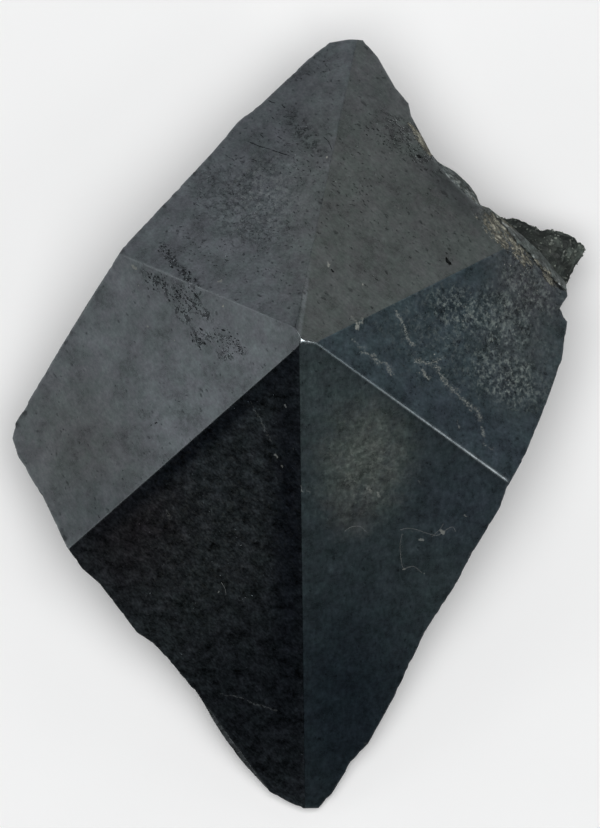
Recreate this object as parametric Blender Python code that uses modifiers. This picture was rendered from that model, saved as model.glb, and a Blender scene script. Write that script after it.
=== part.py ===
"""Hematite crystal point with a scrap of its host rock, resting on its broken base.

The point is a six-sided pyramid. Its faces are true planes, and each is placed by the way it looks and by
its slope. All round it ends in a broken rim, with chipped walls that lean in below the rim and a flat broken
base. A small lump of host rock sits in a pocket under one corner of the rim.

+Z is up and the base lies on z = 0. The origin is under the middle of the specimen's plan. Dimensions are
in millimetres, and MM turns them into Blender's metres.
"""
from __future__ import annotations

import math
from dataclasses import dataclass

import bmesh
import bpy
from mathutils import Matrix, Vector, noise

MM = 0.001
PLAN_SHIFT = Vector((-0.12, 0.15, 0.0))     # brings the middle of the plan onto the origin

# --- The crystal point ----------------------------------------------------------------------------

TIP = Vector((0.05, 6.95, 28.9))            # where the left and the two lower faces meet


@dataclass(frozen=True)
class Facet:
    """A flat face: the bearing it looks towards from +X and its slope, in degrees, and a point on it."""

    name: str
    bearing: float
    slope: float
    point: Vector

    def normal(self) -> Vector:
        """Return the unit normal that points out of the crystal."""
        bearing = math.radians(self.bearing)
        slope = math.radians(self.slope)
        run = math.sin(slope)
        return Vector((run * math.cos(bearing), run * math.sin(bearing), math.cos(slope)))

    def height_at(self, x: float, y: float) -> float:
        """Return the height of the face's plane above the point (x, y)."""
        normal = self.normal()
        run = (x - self.point.x) * normal.x + (y - self.point.y) * normal.y
        return self.point.z - run / normal.z


def above_tip(lift: float) -> Vector:
    """Return the point that lies lift above the tip: three faces pass a little over it."""
    return TIP + Vector((0.0, 0.0, lift))


FACETS = (
    Facet("left", 189.4, 36.0, above_tip(0.0)),
    Facet("lower_left", 249.9, 35.1, above_tip(0.0)),
    Facet("lower_right", 295.1, 35.8, above_tip(0.0)),
    Facet("right", 357.2, 36.8, above_tip(0.83)),
    Facet("upper_right", 45.2, 34.5, above_tip(0.59)),
    Facet("upper_left", 119.5, 37.7, above_tip(1.17)),
    Facet("chipped_edge", 32.0, 60.0, Vector((17.4, 19.0, 15.2))),
)

# The rim in plan, clockwise from the lowest corner.
RIM = (
    (1.8, -34.9), (0.4, -34.9), (-1.2, -34.2), (-2.6, -33.4), (-5.3, -30.5), (-7.4, -27.5), (-9.0, -24.6),
    (-12.7, -20.2), (-14.6, -18.8), (-17.9, -14.4), (-19.5, -13.0), (-20.9, -11.0), (-22.7, -7.2),
    (-25.3, -2.9), (-25.8, -1.3), (-25.5, 0.1), (-21.2, 7.2), (-19.4, 10.1), (-15.7, 15.8), (-10.4, 21.5),
    (-7.7, 24.4), (-5.3, 27.3), (-3.4, 28.7), (1.2, 33.1), (2.8, 34.3), (4.6, 34.6), (5.8, 34.5), (7.1, 33.0),
    (8.7, 30.2), (9.9, 28.8), (10.1, 27.7), (11.9, 24.3), (13.4, 22.2), (15.8, 19.8), (17.1, 19.4),
    (19.5, 17.5), (21.7, 15.5), (24.1, 12.7), (24.2, 11.5), (23.5, 10.4), (24.2, 9.2), (23.7, 5.8),
    (22.1, 1.4), (20.3, -2.9), (18.9, -5.4), (18.1, -7.5), (15.7, -11.5), (14.2, -14.4), (11.4, -18.8),
    (8.7, -24.6), (6.3, -29.0), (4.9, -30.5), (3.0, -33.6),
)
BLANK_HEIGHT = 32.0                         # the prism that the facets are cut from, taller than they are
WALL_CELL = 1.7                             # size of the wall's facets

# --- The broken walls -----------------------------------------------------------------------------

LEAN = math.tan(math.radians(11.0))         # how far the wall leans in for each step down
SCALLOP_SIZE = 5.5                          # width of one shell-like chip
SCALLOP_DEPTH = 1.5
ROUGH_SIZE = 1.9
ROUGH_DEPTH = 0.35
RELIEF_START = 2.5                          # the relief reaches its full depth this far below the rim
LEDGE_DEPTH = 4.5                           # a ledge runs round the wall about this far below the rim
LEDGE_WANDER = 3.0                          # and wanders up and down by this much
LEDGE_SPAN = 14.0                           # over this distance along the wall
LEDGE_STEP = 0.9                            # the wall steps in by this much under it
LEDGE_DROP = 1.2                            # over this drop
FLARE_BEARING = 54.0                        # on this side the break slopes outwards just below the rim
FLARE_HALF_WIDTH = 11.0
FLARE = 1.6
FLARE_DEPTH = 1.2                           # it stands out furthest this far below the rim
FLARE_END = 7.0                             # and is gone here
WALL_SEED = Vector((3.1, 7.7, 1.9))

# --- The scrap of host rock -----------------------------------------------------------------------

# Its corners, level by level: outline points (x, y) at each height.
MATRIX_LEVELS = (
    (-2.0, ((24.6, 15.6), (19.6, 16.6), (15.6, 13.0), (16.4, 9.4), (20.6, 8.4), (22.6, 9.6))),
    (3.5, ((25.2, 16.2), (20.4, 17.6), (15.2, 13.6), (15.8, 9.2), (21.0, 7.9), (23.4, 10.2))),
    (7.6, ((26.0, 16.7), (24.3, 17.3), (20.4, 18.0), (18.0, 19.1), (15.6, 13.6), (19.6, 8.6), (23.8, 12.2))),
    (9.6, ((23.6, 15.6), (20.6, 16.6), (17.6, 13.4), (20.4, 10.6), (22.8, 12.6))),
)
MATRIX_CELL = 0.8                           # size of the facets of its skin
MATRIX_SOFTENING = 2                        # passes that round its corners
MATRIX_LUMP_SIZE = 2.6
MATRIX_LUMP = 0.6
MATRIX_SEED = Vector((5.3, 2.2, 8.1))
SEAM_GAP = 0.4                              # clearance between the rock and its pocket
WELD = 0.02


def open_collection(name: str) -> bpy.types.Collection:
    """Make a collection and link it to the scene."""
    collection = bpy.data.collections.new(name)
    bpy.context.scene.collection.children.link(collection)
    return collection


def principled(
    name: str, colour: tuple[float, float, float], roughness: float, metallic: float
) -> bpy.types.Material:
    """Make a Principled BSDF material."""
    material = bpy.data.materials.new(name)
    material.use_nodes = True
    shader = material.node_tree.nodes["Principled BSDF"]
    shader.inputs["Base Color"].default_value = (*colour, 1.0)
    shader.inputs["Roughness"].default_value = roughness
    shader.inputs["Metallic"].default_value = metallic
    return material


def add_object(name: str, mesh: bpy.types.Mesh, collection: bpy.types.Collection) -> bpy.types.Object:
    """Make an object from a mesh and link it to a collection."""
    piece = bpy.data.objects.new(name, mesh)
    collection.objects.link(piece)
    return piece


def resampled(outline: tuple[tuple[float, float], ...], spacing: float) -> list[Vector]:
    """Return the closed outline with each side divided into equal steps no longer than spacing."""
    points = []
    corners = [Vector(corner) for corner in outline]
    for start, end in zip(corners, corners[1:] + corners[:1]):
        steps = math.ceil((end - start).length / spacing)
        points += [start.lerp(end, step / steps) for step in range(steps)]
    return points


def prism(outline: list[Vector], height: float) -> bpy.types.Mesh:
    """Return a closed prism over the outline, from z = 0 up to height."""
    curve = bpy.data.curves.new("rim", "CURVE")
    curve.dimensions = "2D"
    curve.fill_mode = "BOTH"
    curve.extrude = height / 2
    spline = curve.splines.new("POLY")
    spline.points.add(len(outline) - 1)
    spline.use_cyclic_u = True
    for point, place in zip(spline.points, outline):
        point.co = (place.x, place.y, 0.0, 1.0)
    filled = bpy.data.objects.new("rim", curve)
    bpy.context.scene.collection.objects.link(filled)
    bpy.context.view_layer.update()
    evaluated = filled.evaluated_get(bpy.context.evaluated_depsgraph_get())
    mesh = bpy.data.meshes.new_from_object(evaluated)
    mesh.transform(Matrix.Translation((0.0, 0.0, height / 2)))
    bpy.data.objects.remove(filled)
    bpy.data.curves.remove(curve)
    return mesh


def crest_height(x: float, y: float) -> float:
    """Return the height of the crystal's faces above the point (x, y)."""
    return min(facet.height_at(x, y) for facet in FACETS)


def cut_level(blank: bmesh.types.BMesh, height: float) -> None:
    """Divide the walls along a horizontal line."""
    everything = blank.verts[:] + blank.edges[:] + blank.faces[:]
    bmesh.ops.bisect_plane(blank, geom=everything, plane_co=(0.0, 0.0, height), plane_no=(0.0, 0.0, 1.0))


def cut_facet(blank: bmesh.types.BMesh, facet: Facet) -> None:
    """Cut the blank off above a facet and close the cut with one flat face."""
    everything = blank.verts[:] + blank.edges[:] + blank.faces[:]
    bmesh.ops.bisect_plane(
        blank, geom=everything, dist=WELD, plane_co=facet.point, plane_no=facet.normal(), clear_outer=True
    )
    open_edges = [edge for edge in blank.edges if edge.is_boundary]
    bmesh.ops.holes_fill(blank, edges=open_edges)


def smooth_share(value: float) -> float:
    """Return the value limited to 0..1 with soft ends."""
    share = min(1.0, max(0.0, value))
    return share * share * (3.0 - 2.0 * share)


def flare(place: Vector, depth: float) -> float:
    """Return how far the break stands out from the rim at this place, depth below the rim."""
    off_bearing = abs(math.degrees(math.atan2(place.y, place.x)) - FLARE_BEARING)
    share = smooth_share(1.5 * (1.0 - off_bearing / FLARE_HALF_WIDTH))
    if depth < FLARE_DEPTH:
        return FLARE * share * depth / FLARE_DEPTH
    return FLARE * share * smooth_share((FLARE_END - depth) / (FLARE_END - FLARE_DEPTH))


def ledge(place: Vector, depth: float) -> float:
    """Return how far the wall has stepped in under the ledge at this place."""
    along = Vector((place.x, place.y, 0.0)) / LEDGE_SPAN
    start = LEDGE_DEPTH + LEDGE_WANDER * noise.noise(along + WALL_SEED)
    return LEDGE_STEP * smooth_share((depth - start) / LEDGE_DROP)


def wall_inset(place: Vector, depth: float) -> float:
    """Return how far the wall lies inside the rim at this place, depth below the rim."""
    relief = min(1.0, depth / RELIEF_START)
    nearest = noise.voronoi(place / SCALLOP_SIZE + WALL_SEED)[0][0]
    scallop = SCALLOP_DEPTH * max(0.0, 0.7 - nearest) * relief
    rough = ROUGH_DEPTH * noise.noise(place / ROUGH_SIZE + WALL_SEED) * relief
    return LEAN * depth + scallop + rough + ledge(place, depth) - flare(place, depth)


def break_walls(blank: bmesh.types.BMesh) -> None:
    """Draw the walls in below the rim, in chips, towards the crystal's middle."""
    for vertex in blank.verts:
        depth = crest_height(vertex.co.x, vertex.co.y) - vertex.co.z
        if depth > WELD:
            reach = Vector((vertex.co.x, vertex.co.y)).length
            share = 1.0 - wall_inset(vertex.co, depth) / reach
            vertex.co.x *= share
            vertex.co.y *= share


def crystal_mesh() -> bpy.types.Mesh:
    """Return the crystal point, before the rock's pocket is cut."""
    mesh = prism(resampled(RIM, WALL_CELL), BLANK_HEIGHT)
    blank = bmesh.new()
    blank.from_mesh(mesh)
    bmesh.ops.remove_doubles(blank, verts=blank.verts, dist=WELD)
    top = max(crest_height(x, y) for x, y in RIM)
    for step in range(1, math.ceil(top / WALL_CELL)):
        cut_level(blank, step * WALL_CELL)
    for facet in FACETS:
        cut_facet(blank, facet)
    bmesh.ops.remove_doubles(blank, verts=blank.verts, dist=WELD)
    break_walls(blank)
    bmesh.ops.recalc_face_normals(blank, faces=blank.faces)
    blank.to_mesh(mesh)
    blank.free()
    mesh.name = "crystal"
    return mesh


def remeshed(shape: bmesh.types.BMesh, cell: float) -> bpy.types.Mesh:
    """Return the closed shape's skin as even facets of about the cell's size."""
    source = bpy.data.meshes.new("coarse")
    shape.to_mesh(source)
    coarse = bpy.data.objects.new("coarse", source)
    bpy.context.scene.collection.objects.link(coarse)
    remesh = coarse.modifiers.new("even_facets", "REMESH")
    remesh.mode = "VOXEL"
    remesh.voxel_size = cell
    bpy.context.view_layer.update()
    evaluated = coarse.evaluated_get(bpy.context.evaluated_depsgraph_get())
    mesh = bpy.data.meshes.new_from_object(evaluated)
    bpy.data.objects.remove(coarse)
    bpy.data.meshes.remove(source)
    return mesh


def rock_skin() -> bmesh.types.BMesh:
    """Return the rough skin of the host rock, which runs on below the base."""
    hull = bmesh.new()
    for height, corners in MATRIX_LEVELS:
        for x, y in corners:
            hull.verts.new((x, y, height))
    bmesh.ops.convex_hull(hull, input=hull.verts)
    mesh = remeshed(hull, MATRIX_CELL)
    hull.free()
    skin = bmesh.new()
    skin.from_mesh(mesh)
    bpy.data.meshes.remove(mesh)
    for _ in range(MATRIX_SOFTENING):
        bmesh.ops.smooth_vert(
            skin, verts=skin.verts, factor=0.5, use_axis_x=True, use_axis_y=True, use_axis_z=True
        )
    skin.normal_update()
    for vertex in skin.verts:
        swell = noise.fractal(vertex.co / MATRIX_LUMP_SIZE + MATRIX_SEED, 0.8, 2.0, 3)
        vertex.co += vertex.normal * MATRIX_LUMP * swell
    skin.normal_update()
    return skin


def matrix_mesh() -> bpy.types.Mesh:
    """Return the lump of host rock, cut off flat at the base."""
    rock = rock_skin()
    everything = rock.verts[:] + rock.edges[:] + rock.faces[:]
    foot = Vector((0.0, 0.0, 0.0))
    down = Vector((0.0, 0.0, -1.0))
    bmesh.ops.bisect_plane(rock, geom=everything, dist=WELD, plane_co=foot, plane_no=down, clear_outer=True)
    bmesh.ops.holes_fill(rock, edges=[edge for edge in rock.edges if edge.is_boundary])
    mesh = bpy.data.meshes.new("matrix")
    rock.to_mesh(mesh)
    rock.free()
    return mesh


def pocket_mesh() -> bpy.types.Mesh:
    """Return the cutter for the rock's pocket: the rock's skin grown by the seam gap."""
    grown = rock_skin()
    for vertex in grown.verts:
        vertex.co += vertex.normal * SEAM_GAP
    mesh = bpy.data.meshes.new("pocket")
    grown.to_mesh(mesh)
    grown.free()
    return mesh


def main() -> None:
    """Build the specimen."""
    for leftover in list(bpy.data.objects):
        bpy.data.objects.remove(leftover)
    pieces = open_collection("hematite")
    cutters = open_collection("cutters")

    crystal = add_object("crystal", crystal_mesh(), pieces)
    matrix = add_object("matrix", matrix_mesh(), pieces)
    pocket = add_object("pocket_cutter", pocket_mesh(), cutters)
    pocket.hide_render = True
    pocket.display_type = "WIRE"
    for piece in (crystal, matrix, pocket):
        piece.data.transform(Matrix.Scale(MM, 4) @ Matrix.Translation(PLAN_SHIFT))

    cut = crystal.modifiers.new("pocket", "BOOLEAN")
    cut.operation = "DIFFERENCE"
    cut.solver = "EXACT"
    cut.object = pocket
    crystal.data.materials.append(principled("hematite", (0.035, 0.04, 0.045), 0.4, 0.3))
    matrix.data.materials.append(principled("host_rock", (0.16, 0.18, 0.16), 0.9, 0.0))


main()
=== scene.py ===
"""Hematite crystal with a remnant of host rock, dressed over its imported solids.

The crystal is a low pyramid of six planar faces over broken sides. Each face, ridge, pit and
grain is placed in millimetres in plan, and rises to the face that carries it.
"""
import logging
import math
import random
from dataclasses import dataclass, field
from enum import Enum
from functools import cache
from typing import Iterable, Sequence

import bmesh
import bpy
from mathutils import Matrix, Vector, kdtree, noise
from mathutils.bvhtree import BVHTree
from mathutils.geometry import delaunay_2d_cdt, intersect_line_line_2d


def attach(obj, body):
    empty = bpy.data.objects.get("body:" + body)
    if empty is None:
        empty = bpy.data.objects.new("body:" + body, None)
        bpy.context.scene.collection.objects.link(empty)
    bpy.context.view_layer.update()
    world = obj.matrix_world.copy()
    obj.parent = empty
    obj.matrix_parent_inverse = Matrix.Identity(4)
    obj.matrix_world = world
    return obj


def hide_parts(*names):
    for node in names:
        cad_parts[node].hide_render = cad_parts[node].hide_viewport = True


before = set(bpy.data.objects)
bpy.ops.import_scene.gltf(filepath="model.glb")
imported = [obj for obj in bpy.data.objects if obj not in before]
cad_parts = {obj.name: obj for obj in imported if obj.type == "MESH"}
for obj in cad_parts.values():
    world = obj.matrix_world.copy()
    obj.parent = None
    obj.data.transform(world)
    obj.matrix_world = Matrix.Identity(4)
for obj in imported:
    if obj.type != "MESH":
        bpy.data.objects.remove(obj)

log = logging.getLogger("hematite")

Plan = tuple[float, float]
Colour = tuple[float, float, float]
Socket = bpy.types.NodeSocket
Tree = bpy.types.NodeTree
Material = bpy.types.Material
Thing = bpy.types.Object
Skin = bmesh.types.BMesh
Vert = bmesh.types.BMVert

MM = 0.001
STANDING = 0.02  # a point of a solid lower than this, in millimetres, stands on the floor
WELD = 0.001     # points nearer than this, in millimetres, are one
SNAP = 1e-5      # the same for points in plan that are being joined into triangles
MIX_FIRST, MIX_SECOND, MIX_RESULT = 6, 7, 2  # the colour sockets of a Mix node
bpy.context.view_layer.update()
BODY = "root"


# ---- node trees
def feed(tree: Tree, node: bpy.types.Node, feeds: dict) -> None:
    """Gives a node its inputs.

    Args:
        tree: The node's tree.
        node: The node.
        feeds: Input name or number to the socket that feeds it, or to its plain value.
    """
    for name, value in feeds.items():
        if isinstance(value, Socket):
            tree.links.new(value, node.inputs[name])
        else:
            node.inputs[name].default_value = value


def put(tree: Tree, kind: str, feeds: dict | None = None, **settings: object) -> bpy.types.Node:
    """Adds one node to a tree.

    Args:
        tree: The tree.
        kind: The node's Blender type.
        feeds: Its inputs, as feed takes them.
        **settings: Properties of the node itself.

    Returns:
        The new node.
    """
    node = tree.nodes.new(kind)
    for name, value in settings.items():
        setattr(node, name, value)
    feed(tree, node, feeds or {})
    return node


def maths(tree: Tree, operation: str, *terms: Socket | float, clamp: bool = False) -> Socket:
    """Joins numbers by one Math node.

    Args:
        tree: The tree.
        operation: The node's operation.
        *terms: Its inputs in order, as sockets or plain numbers.
        clamp: Whether the result is held between 0 and 1.

    Returns:
        The result's socket.
    """
    node = put(tree, "ShaderNodeMath", dict(enumerate(terms)), operation=operation)
    node.use_clamp = clamp
    return node.outputs[0]


def arrows(tree: Tree, operation: str, *terms: Socket | Sequence[float]) -> Socket:
    """Joins vectors by one Vector Math node.

    Args:
        tree: The tree.
        operation: The node's operation.
        *terms: Its inputs in order, as sockets or plain vectors.

    Returns:
        The socket of the result, a number for LENGTH and DOT_PRODUCT.
    """
    node = put(tree, "ShaderNodeVectorMath", dict(enumerate(terms)), operation=operation)
    return node.outputs[1 if operation in {"LENGTH", "DOT_PRODUCT"} else 0]


def ranged(
    tree: Tree, value: Socket, low: Socket | float, high: Socket | float,
    start: Socket | float = 0.0, end: Socket | float = 1.0,
) -> Socket:
    """Eases a number from start to end as it goes from low to high.

    Args:
        tree: The tree.
        value: The number.
        low: Where the change begins.
        high: Where it is complete.
        start: The result up to low.
        end: The result from high.

    Returns:
        The result's socket.
    """
    feeds = {"Value": value, "From Min": low, "From Max": high, "To Min": start, "To Max": end}
    return put(tree, "ShaderNodeMapRange", feeds, interpolation_type="SMOOTHSTEP").outputs[0]


def blended(
    tree: Tree, share: Socket | float, first: Socket | Colour, second: Socket | Colour,
    way: str = "MIX",
) -> Socket:
    """Mixes two colours.

    Args:
        tree: The tree.
        share: How much of the second shows, from 0 to 1.
        first: The colour underneath.
        second: The colour on top.
        way: The blend type.

    Returns:
        The mixed colour's socket.
    """
    feeds = {0: share}
    for slot, colour in ((MIX_FIRST, first), (MIX_SECOND, second)):
        feeds[slot] = colour if isinstance(colour, Socket) else (*colour, 1.0)
    return put(tree, "ShaderNodeMix", feeds, data_type="RGBA", blend_type=way).outputs[MIX_RESULT]


def clouds(tree: Tree, at: Socket, scale: Socket | float, detail: float = 4.0,
           rough: float = 0.55) -> Socket:
    """Lays fractal noise.

    Args:
        tree: The tree.
        at: Where it is read.
        scale: Clouds per unit of length.
        detail: Octaves.
        rough: How strong the finer octaves are.

    Returns:
        The noise value's socket, about 0.5 on average.
    """
    feeds = {"Vector": at, "Scale": scale, "Detail": detail, "Roughness": rough}
    return put(tree, "ShaderNodeTexNoise", feeds).outputs["Fac"]


def turned_back(tree: Tree, at: Socket, angle: Socket | float) -> Socket:
    """Turns a position in plan clockwise by an angle in radians."""
    feeds = {"Vector": at, "Angle": angle}
    return put(tree, "ShaderNodeVectorRotate", feeds, rotation_type="Z_AXIS", invert=True).outputs[0]


def times(tree: Tree, first: Socket | float, second: Socket | float) -> Socket:
    """Multiplies two numbers."""
    return maths(tree, "MULTIPLY", first, second)


def minus(tree: Tree, first: Socket | float, second: Socket | float) -> Socket:
    """Takes the second number from the first."""
    return maths(tree, "SUBTRACT", first, second)


FLOAT, COLOUR = "NodeSocketFloat", "NodeSocketColor"
KINDS = {float: FLOAT, int: "NodeSocketInt", tuple: "NodeSocketVector"}


def add_inputs(tree: Tree, inputs: dict[str, float | tuple]) -> dict[str, str]:
    """Gives a group its named inputs.

    Args:
        tree: The group.
        inputs: Name to value, which also says what kind of input it is.

    Returns:
        Name to the socket's identifier, by which a modifier sets it.
    """
    names = {}
    for label, value in inputs.items():
        socket = tree.interface.new_socket(label, in_out="INPUT", socket_type=KINDS[type(value)])
        socket.default_value = value
        names[label] = socket.identifier
    return names


class Effect:
    """A shader group under construction: its tree, its inputs and the first of them, the position."""

    def __init__(self, name: str, inputs: dict[str, float | tuple], outputs: dict[str, str]) -> None:
        """Opens the group.

        Args:
            name: The group's name.
            inputs: Name to value of the inputs after Vector.
            outputs: Output name to its socket type.
        """
        self.tree = bpy.data.node_groups.new(name, "ShaderNodeTree")
        add_inputs(self.tree, {"Vector": (0, 0, 0), **inputs})
        for label, kind in outputs.items():
            self.tree.interface.new_socket(label, in_out="OUTPUT", socket_type=kind)
        given = self.tree.nodes.new("NodeGroupInput").outputs
        self.parts = self.tree, given, given["Vector"]
        self.made = self.tree.nodes.new("NodeGroupOutput").inputs

    def give(self, **results: Socket) -> Tree:
        """Links the results to the group's outputs.

        Args:
            **results: Output name to the socket that feeds it.

        Returns:
            The finished group.
        """
        for name, socket in results.items():
            self.tree.links.new(socket, self.made[name])
        return self.tree


@cache
def mottling_effect() -> Tree:
    """Makes the group for the cloudy change of tone in a face.

    Returns:
        The group.
    """
    made = Effect("mottling", {"Size": 4.0, "Depth": 0.2}, {"Factor": FLOAT, "Value": FLOAT, "Tint": COLOUR})
    tree, given, at = made.parts
    value = clouds(tree, at, maths(tree, "DIVIDE", 1, given["Size"]), 5, 0.82)
    swing = times(tree, minus(tree, value, 0.5), given["Depth"])
    factor = maths(tree, "MAXIMUM", maths(tree, "MULTIPLY_ADD", swing, 18, 1), 0.1)
    hue = clouds(tree, arrows(tree, "ADD", at, (17, 5, 3)), 0.55, 5, 0.75)
    tint = blended(tree, ranged(tree, hue, 0.36, 0.64), (1.03, 0.99, 1.02), (0.97, 1.01, 0.99))
    return made.give(Factor=factor, Value=value, Tint=tint)


@cache
def grain_effect() -> Tree:
    """Makes the group for fine streaks that all run one way.

    Returns:
        The group.
    """
    made = Effect("streaky_grain", {"Turn": 0.0, "Length": 1.0, "Width": 0.2, "Depth": 0.2},
                  {"Factor": FLOAT, "Value": FLOAT})
    tree, given, at = made.parts
    turned = turned_back(tree, at, given["Turn"])
    per_length, per_width = (maths(tree, "DIVIDE", 1, given[name]) for name in ("Length", "Width"))
    size = put(tree, "ShaderNodeCombineXYZ", {0: per_length, 1: per_width, 2: per_width}).outputs[0]
    value = clouds(tree, arrows(tree, "MULTIPLY", turned, size), 1, 3, 0.6)
    swing = times(tree, minus(tree, value, 0.5), given["Depth"])
    factor = maths(tree, "MAXIMUM", maths(tree, "MULTIPLY_ADD", swing, 12, 1), 0.1)
    return made.give(Factor=factor, Value=value)


@cache
def pitting_effect() -> Tree:
    """Makes the group for small pits, dashes or specks, which gather where a slow noise is high.

    Returns:
        The group.
    """
    made = Effect(
        "pitting",
        {"Turn": 0.0, "Stretch": 1.0, "Spacing": 0.5, "Share": 0.3, "Radius": 0.3, "Clump": 0.5},
        {"Mask": FLOAT},
    )
    tree, given, at = made.parts
    sway = times(tree, minus(tree, clouds(tree, at, 0.9, 2), 0.5), 2.4)
    turned = turned_back(tree, at, given["Turn"])
    bent = put(tree, "ShaderNodeCombineXYZ", {1: times(tree, sway, 0.35)}).outputs[0]
    squeeze = put(tree, "ShaderNodeCombineXYZ", {0: maths(tree, "DIVIDE", 1, given["Stretch"]), 1: 1, 2: 1})
    turned = arrows(tree, "MULTIPLY", arrows(tree, "ADD", turned, bent), squeeze.outputs[0])
    cells = put(tree, "ShaderNodeTexVoronoi",
                {"Vector": turned, "Scale": maths(tree, "DIVIDE", 1, given["Spacing"])})
    chance = put(tree, "ShaderNodeSeparateColor", {0: cells.outputs["Color"]}).outputs
    crowd = ranged(tree, clouds(tree, at, 0.42, 3), 0.40, 0.62, 0.15, 1.85)
    crowd = maths(tree, "MULTIPLY_ADD", minus(tree, crowd, 1), given["Clump"], 1)
    present = maths(tree, "LESS_THAN", chance[0], times(tree, given["Share"], crowd))
    radius = times(tree, given["Radius"], maths(tree, "ADD", chance[1], 0.4))
    spot = ranged(tree, cells.outputs["Distance"], times(tree, radius, 0.5), radius, 1, 0)
    return made.give(Mask=times(tree, spot, present))


@cache
def patch_effect() -> Tree:
    """Makes the group for one soft-edged area of a face, an ellipse in plan with a ragged rim.

    Returns:
        The group.
    """
    made = Effect(
        "soft_patch",
        {"Centre": (0, 0, 0), "Radii": (1, 1, 1), "Turn": 0.0, "Softness": 0.3, "Ragged": 0.4},
        {"Mask": FLOAT},
    )
    tree, given, at = made.parts
    away = arrows(tree, "SUBTRACT", arrows(tree, "MULTIPLY", at, (1, 1, 0)), given["Centre"])
    turned = turned_back(tree, away, given["Turn"])
    reach = arrows(tree, "LENGTH", arrows(tree, "DIVIDE", turned, given["Radii"]))
    wave = minus(tree, clouds(tree, at, 0.8, 4, 0.6), 0.5)
    reach = maths(tree, "MULTIPLY_ADD", wave, given["Ragged"], reach)
    low = minus(tree, 1, given["Softness"])
    high = maths(tree, "ADD", 1, given["Softness"])
    return made.give(Mask=ranged(tree, reach, low, high, 1, 0))


@cache
def streak_effect() -> Tree:
    """Makes the group for one crumbly line of film between two points in plan.

    Returns:
        The group.
    """
    made = Effect("film_streak", {"Start": (0, 0, 0), "End": (1, 0, 0), "Width": 0.1, "Gaps": 0.4},
                  {"Mask": FLOAT})
    tree, given, at = made.parts
    flat = arrows(tree, "MULTIPLY", at, (1, 1, 0))
    ripple = put(tree, "ShaderNodeTexNoise", {"Vector": flat, "Scale": 2.6, "Detail": 3}).outputs["Color"]
    nudge = arrows(tree, "MULTIPLY", arrows(tree, "SUBTRACT", ripple, (0.5, 0.5, 0.5)), (0.55, 0.55, 0))
    away = arrows(tree, "SUBTRACT", arrows(tree, "ADD", flat, nudge), given["Start"])
    run = arrows(tree, "SUBTRACT", given["End"], given["Start"])
    share = maths(tree, "DIVIDE", arrows(tree, "DOT_PRODUCT", away, run), arrows(tree, "DOT_PRODUCT", run, run),
                  clamp=True)
    along = put(tree, "ShaderNodeCombineXYZ", {0: share, 1: share, 2: share}).outputs[0]
    gap = arrows(tree, "LENGTH", arrows(tree, "SUBTRACT", away, arrows(tree, "MULTIPLY", run, along)))
    swell = ranged(tree, clouds(tree, flat, 1.1, 2), 0.38, 0.62, 0.5, 1.5)
    line = ranged(tree, gap, 0, times(tree, given["Width"], swell), 1, 0)
    crumbs = clouds(tree, flat, 5.5, 5, 0.9)
    level = maths(tree, "MULTIPLY_ADD", line, -0.13, maths(tree, "ADD", given["Gaps"], 0.15))
    shown = ranged(tree, crumbs, level, maths(tree, "ADD", level, 0.07))
    return made.give(Mask=times(tree, ranged(tree, line, 0, 0.3), shown))


@cache
def ochre_effect() -> Tree:
    """Makes the group for a crumbly film of tan iron ochre.

    Returns:
        The group.
    """
    made = Effect("ochre_film", {"Cover": 0.0}, {"Colour": COLOUR, "Mask": FLOAT, "Value": FLOAT})
    tree, given, at = made.parts
    crumbs = clouds(tree, at, 2.2, 6, 0.8)
    level = minus(tree, 0.66, times(tree, given["Cover"], 0.24))
    mask = ranged(tree, crumbs, minus(tree, level, 0.04), maths(tree, "ADD", level, 0.04))
    mask = times(tree, mask, ranged(tree, given["Cover"], 0.02, 0.25))
    tone = clouds(tree, arrows(tree, "ADD", at, (7, 3, 1)), 3, 4, 0.85)
    colour = blended(tree, ranged(tree, tone, 0.42, 0.50), (0.045, 0.045, 0.038), (0.125, 0.122, 0.096))
    colour = blended(tree, ranged(tree, tone, 0.53, 0.61), colour, (0.34, 0.335, 0.275))
    return made.give(Colour=colour, Mask=mask, Value=crumbs)


@cache
def wear_highlight_effect() -> Tree:
    """Makes the group that says where an edge is rubbed and carries its painted highlight, from how near the edge
    is.

    Returns:
        The group.
    """
    made = Effect("edge_wear", {"Edge": 0.0, "Uneven": 0.5}, {"Mask": FLOAT})
    tree, given, at = made.parts
    chips = ranged(tree, clouds(tree, at, 1.3, 4, 0.65), 0.36, 0.62)
    least = minus(tree, 1, given["Uneven"])
    share = maths(tree, "MULTIPLY_ADD", chips, given["Uneven"], least)
    return made.give(Mask=times(tree, given["Edge"], share))


def use(tree: Tree, group: Tree, **feeds: Socket | float | tuple) -> bpy.types.Node:
    """Places a shader group in a tree, with what feeds its inputs by name."""
    return put(tree, "ShaderNodeGroup", feeds, node_tree=group)


# ---- finishes
@dataclass(frozen=True)
class Patch:
    """A soft-edged elliptical area of a surface: its centre and half sizes in plan, and its turn."""

    x: float
    y: float
    along: float
    across: float
    turn: float = 0.0
    strength: float = 1.0
    softness: float = 0.5
    ragged: float = 0.6
    tone: Colour = (0.1, 0.1, 0.1)

    def mask(self, tree: Tree, at: Socket) -> Socket:
        """Lays the patch in a material.

        Args:
            tree: The material's tree.
            at: The position in millimetres.

        Returns:
            The socket of the patch's mask times its strength.
        """
        node = use(
            tree, patch_effect(), Vector=at, Centre=(self.x, self.y, 0), Radii=(self.along, self.across, 1),
            Turn=math.radians(self.turn), Softness=self.softness, Ragged=self.ragged,
        )
        return times(tree, node.outputs[0], self.strength)


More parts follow.
